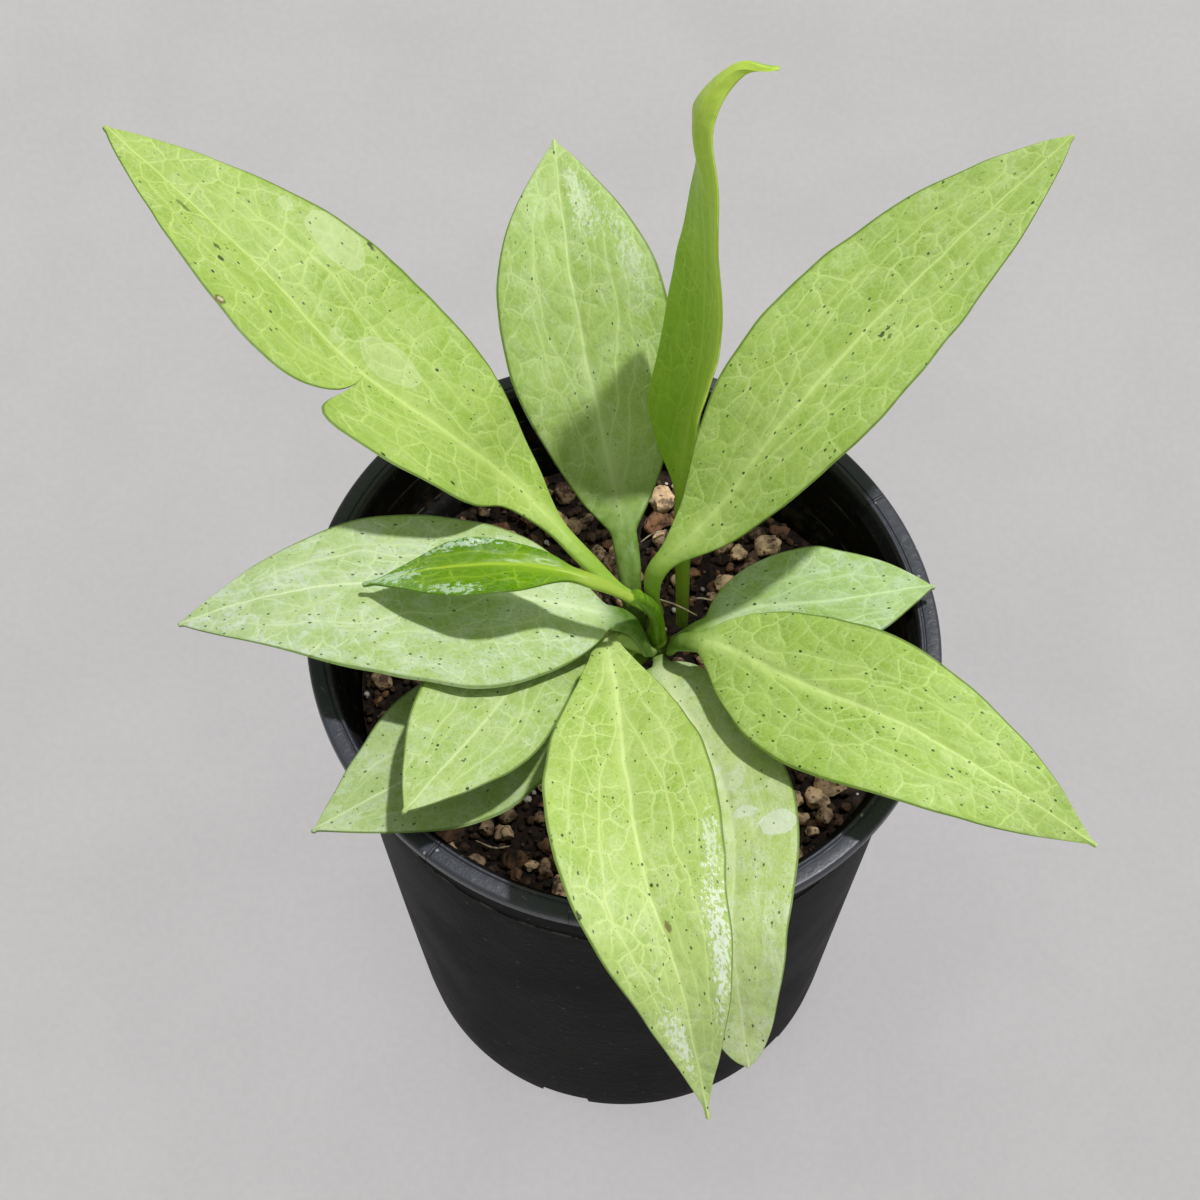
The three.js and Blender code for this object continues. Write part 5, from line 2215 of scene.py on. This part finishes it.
    def build(self) -> list[Piece]:
        """Makes, dresses and settles the bed and its loose pieces."""
        draws = np.random.RandomState(SEED)
        peat = GrainFinish(dark=(0.004, 0.0025, 0.0016), light=(0.05, 0.028, 0.017), pitting=0.5,
                           relief=0.0006)
        pieces = [self.bed().piece("soil_bed", peat.material("damp_peat"))]
        settle(pieces[0], peat, "soil")
        taken: list[Spot] = []
        for kind in self.kinds:
            spots = self.scattered(kind, taken, draws)
            skin = kind.finish.material(kind.title + "_skin")
            piece = self.grains(kind, spots, draws).piece(kind.title, skin)
            settle(piece, kind.finish, "soil")
            pieces.append(piece)
        straw = GrainFinish(dark=(0.2, 0.13, 0.07), light=(0.6, 0.5, 0.34), pitting=0.3, relief=0.0001)
        pieces.append(self.fibre_strands().piece("root_fibres", straw.material("dry_straw")))
        settle(pieces[-1], straw, "soil")
        return pieces


# --- studio ---


@dataclass
class Studio:
    """Camera, light and floor. Lengths are in millimetres, angles in degrees."""

    aim_height: float = 110.0
    distance: float = 600.0
    pitch: float = 60.0
    lens: float = 110.3
    shift: tuple[float, float] = (-0.0193, 0.0258)
    key_from: Point = (0.284, 0.152, 0.947)
    key_energy: float = 2.55
    key_softness: float = 3.0
    sky: Colour = (0.94, 1.0, 0.84)
    sky_strength: float = 0.38
    soil_energy: float = 1.15
    floor_half: float = 5000.0
    floor_drop: float = 0.05

    def camera(self) -> None:
        """Puts the camera at the photograph's angle."""
        data = bpy.data.cameras.new("studio_camera")
        data.lens = self.lens
        data.sensor_width = 36.0
        data.shift_x, data.shift_y = self.shift
        data.clip_start = 0.01
        camera = bpy.data.objects.new("studio_camera", data)
        tilt = math.radians(self.pitch)
        away = Vector((0.0, -math.cos(tilt), math.sin(tilt))) * self.distance * MM
        camera.location = Vector((0.0, 0.0, self.aim_height * MM)) + away
        camera.rotation_euler = (math.radians(90 - self.pitch), 0.0, 0.0)
        bpy.context.scene.collection.objects.link(camera)
        bpy.context.scene.camera = camera

    def floor(self) -> Piece:
        """Makes the plain pale floor."""
        edge = self.floor_half
        square = ((-edge, -edge), (edge, -edge), (edge, edge), (-edge, edge))
        corners = np.array([(x, y, -self.floor_drop) for x, y in square])
        floor = Surface(corners, [(0, 1, 2, 3)]).piece("floor", FloorFinish().material("pale_floor"))
        return floor

    def light(self, floor: Piece, plant: list[Piece], soil: list[Piece]) -> None:
        """Lights the plant with a key and a soft sky, fills in the soil, and lights the floor evenly.

        Args:
            floor: The floor.
            plant: Every piece of the plant.
            soil: The pieces of the soil among them.
        """
        on_plant = self._sun("key_light", self.key_energy)
        on_floor = self._sun("floor_light", self.key_energy)
        on_soil = self._sun("soil_light", self.soil_energy)
        shown = self._group("plant_pieces", plant)
        ground = self._group("floor_pieces", [floor])
        loose = self._group("soil_pieces", soil)
        on_plant.light_linking.receiver_collection = shown
        on_floor.light_linking.receiver_collection = ground
        on_floor.light_linking.blocker_collection = ground
        on_soil.light_linking.receiver_collection = loose
        on_soil.light_linking.blocker_collection = loose
        world = bpy.data.worlds.new("soft_sky")
        world.use_nodes = True
        back = world.node_tree.nodes["Background"]
        back.inputs["Color"].default_value = (*self.sky, 1.0)
        back.inputs["Strength"].default_value = self.sky_strength
        bpy.context.scene.world = world
        bpy.context.scene.view_settings.view_transform = "Standard"

    @staticmethod
    def _group(name: str, pieces: list[Piece]) -> bpy.types.Collection:
        """A collection of some pieces, for the lights.

        Args:
            name: Its name.
            pieces: What it holds.

        Returns:
            The collection.
        """
        made = bpy.data.collections.new(name)
        for piece in pieces:
            made.objects.link(piece)
        return made

    def _sun(self, name: str, energy: float) -> Piece:
        """A distant light from the key direction.

        Args:
            name: Its name.
            energy: Its strength.

        Returns:
            The light.
        """
        data = bpy.data.lights.new(name, "SUN")
        data.energy = energy
        data.angle = math.radians(self.key_softness)
        made = bpy.data.objects.new(name, data)
        made.rotation_euler = Vector(self.key_from).to_track_quat("Z", "Y").to_euler()
        bpy.context.scene.collection.objects.link(made)
        return made


def main() -> None:
    """Builds the plant and its studio in order."""
    logging.basicConfig(level=logging.INFO, format="%(message)s")
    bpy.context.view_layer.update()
    studio = Studio()
    studio.camera()
    pot = Pot()
    soil = Soil(pot).build()
    pieces = [pot.build(), *soil, Stem().build()]
    pieces += [Leaf(plan, index).build() for index, plan in enumerate(LEAVES)]
    studio.light(studio.floor(), pieces, soil)


if __name__ == "__main__":
    main()
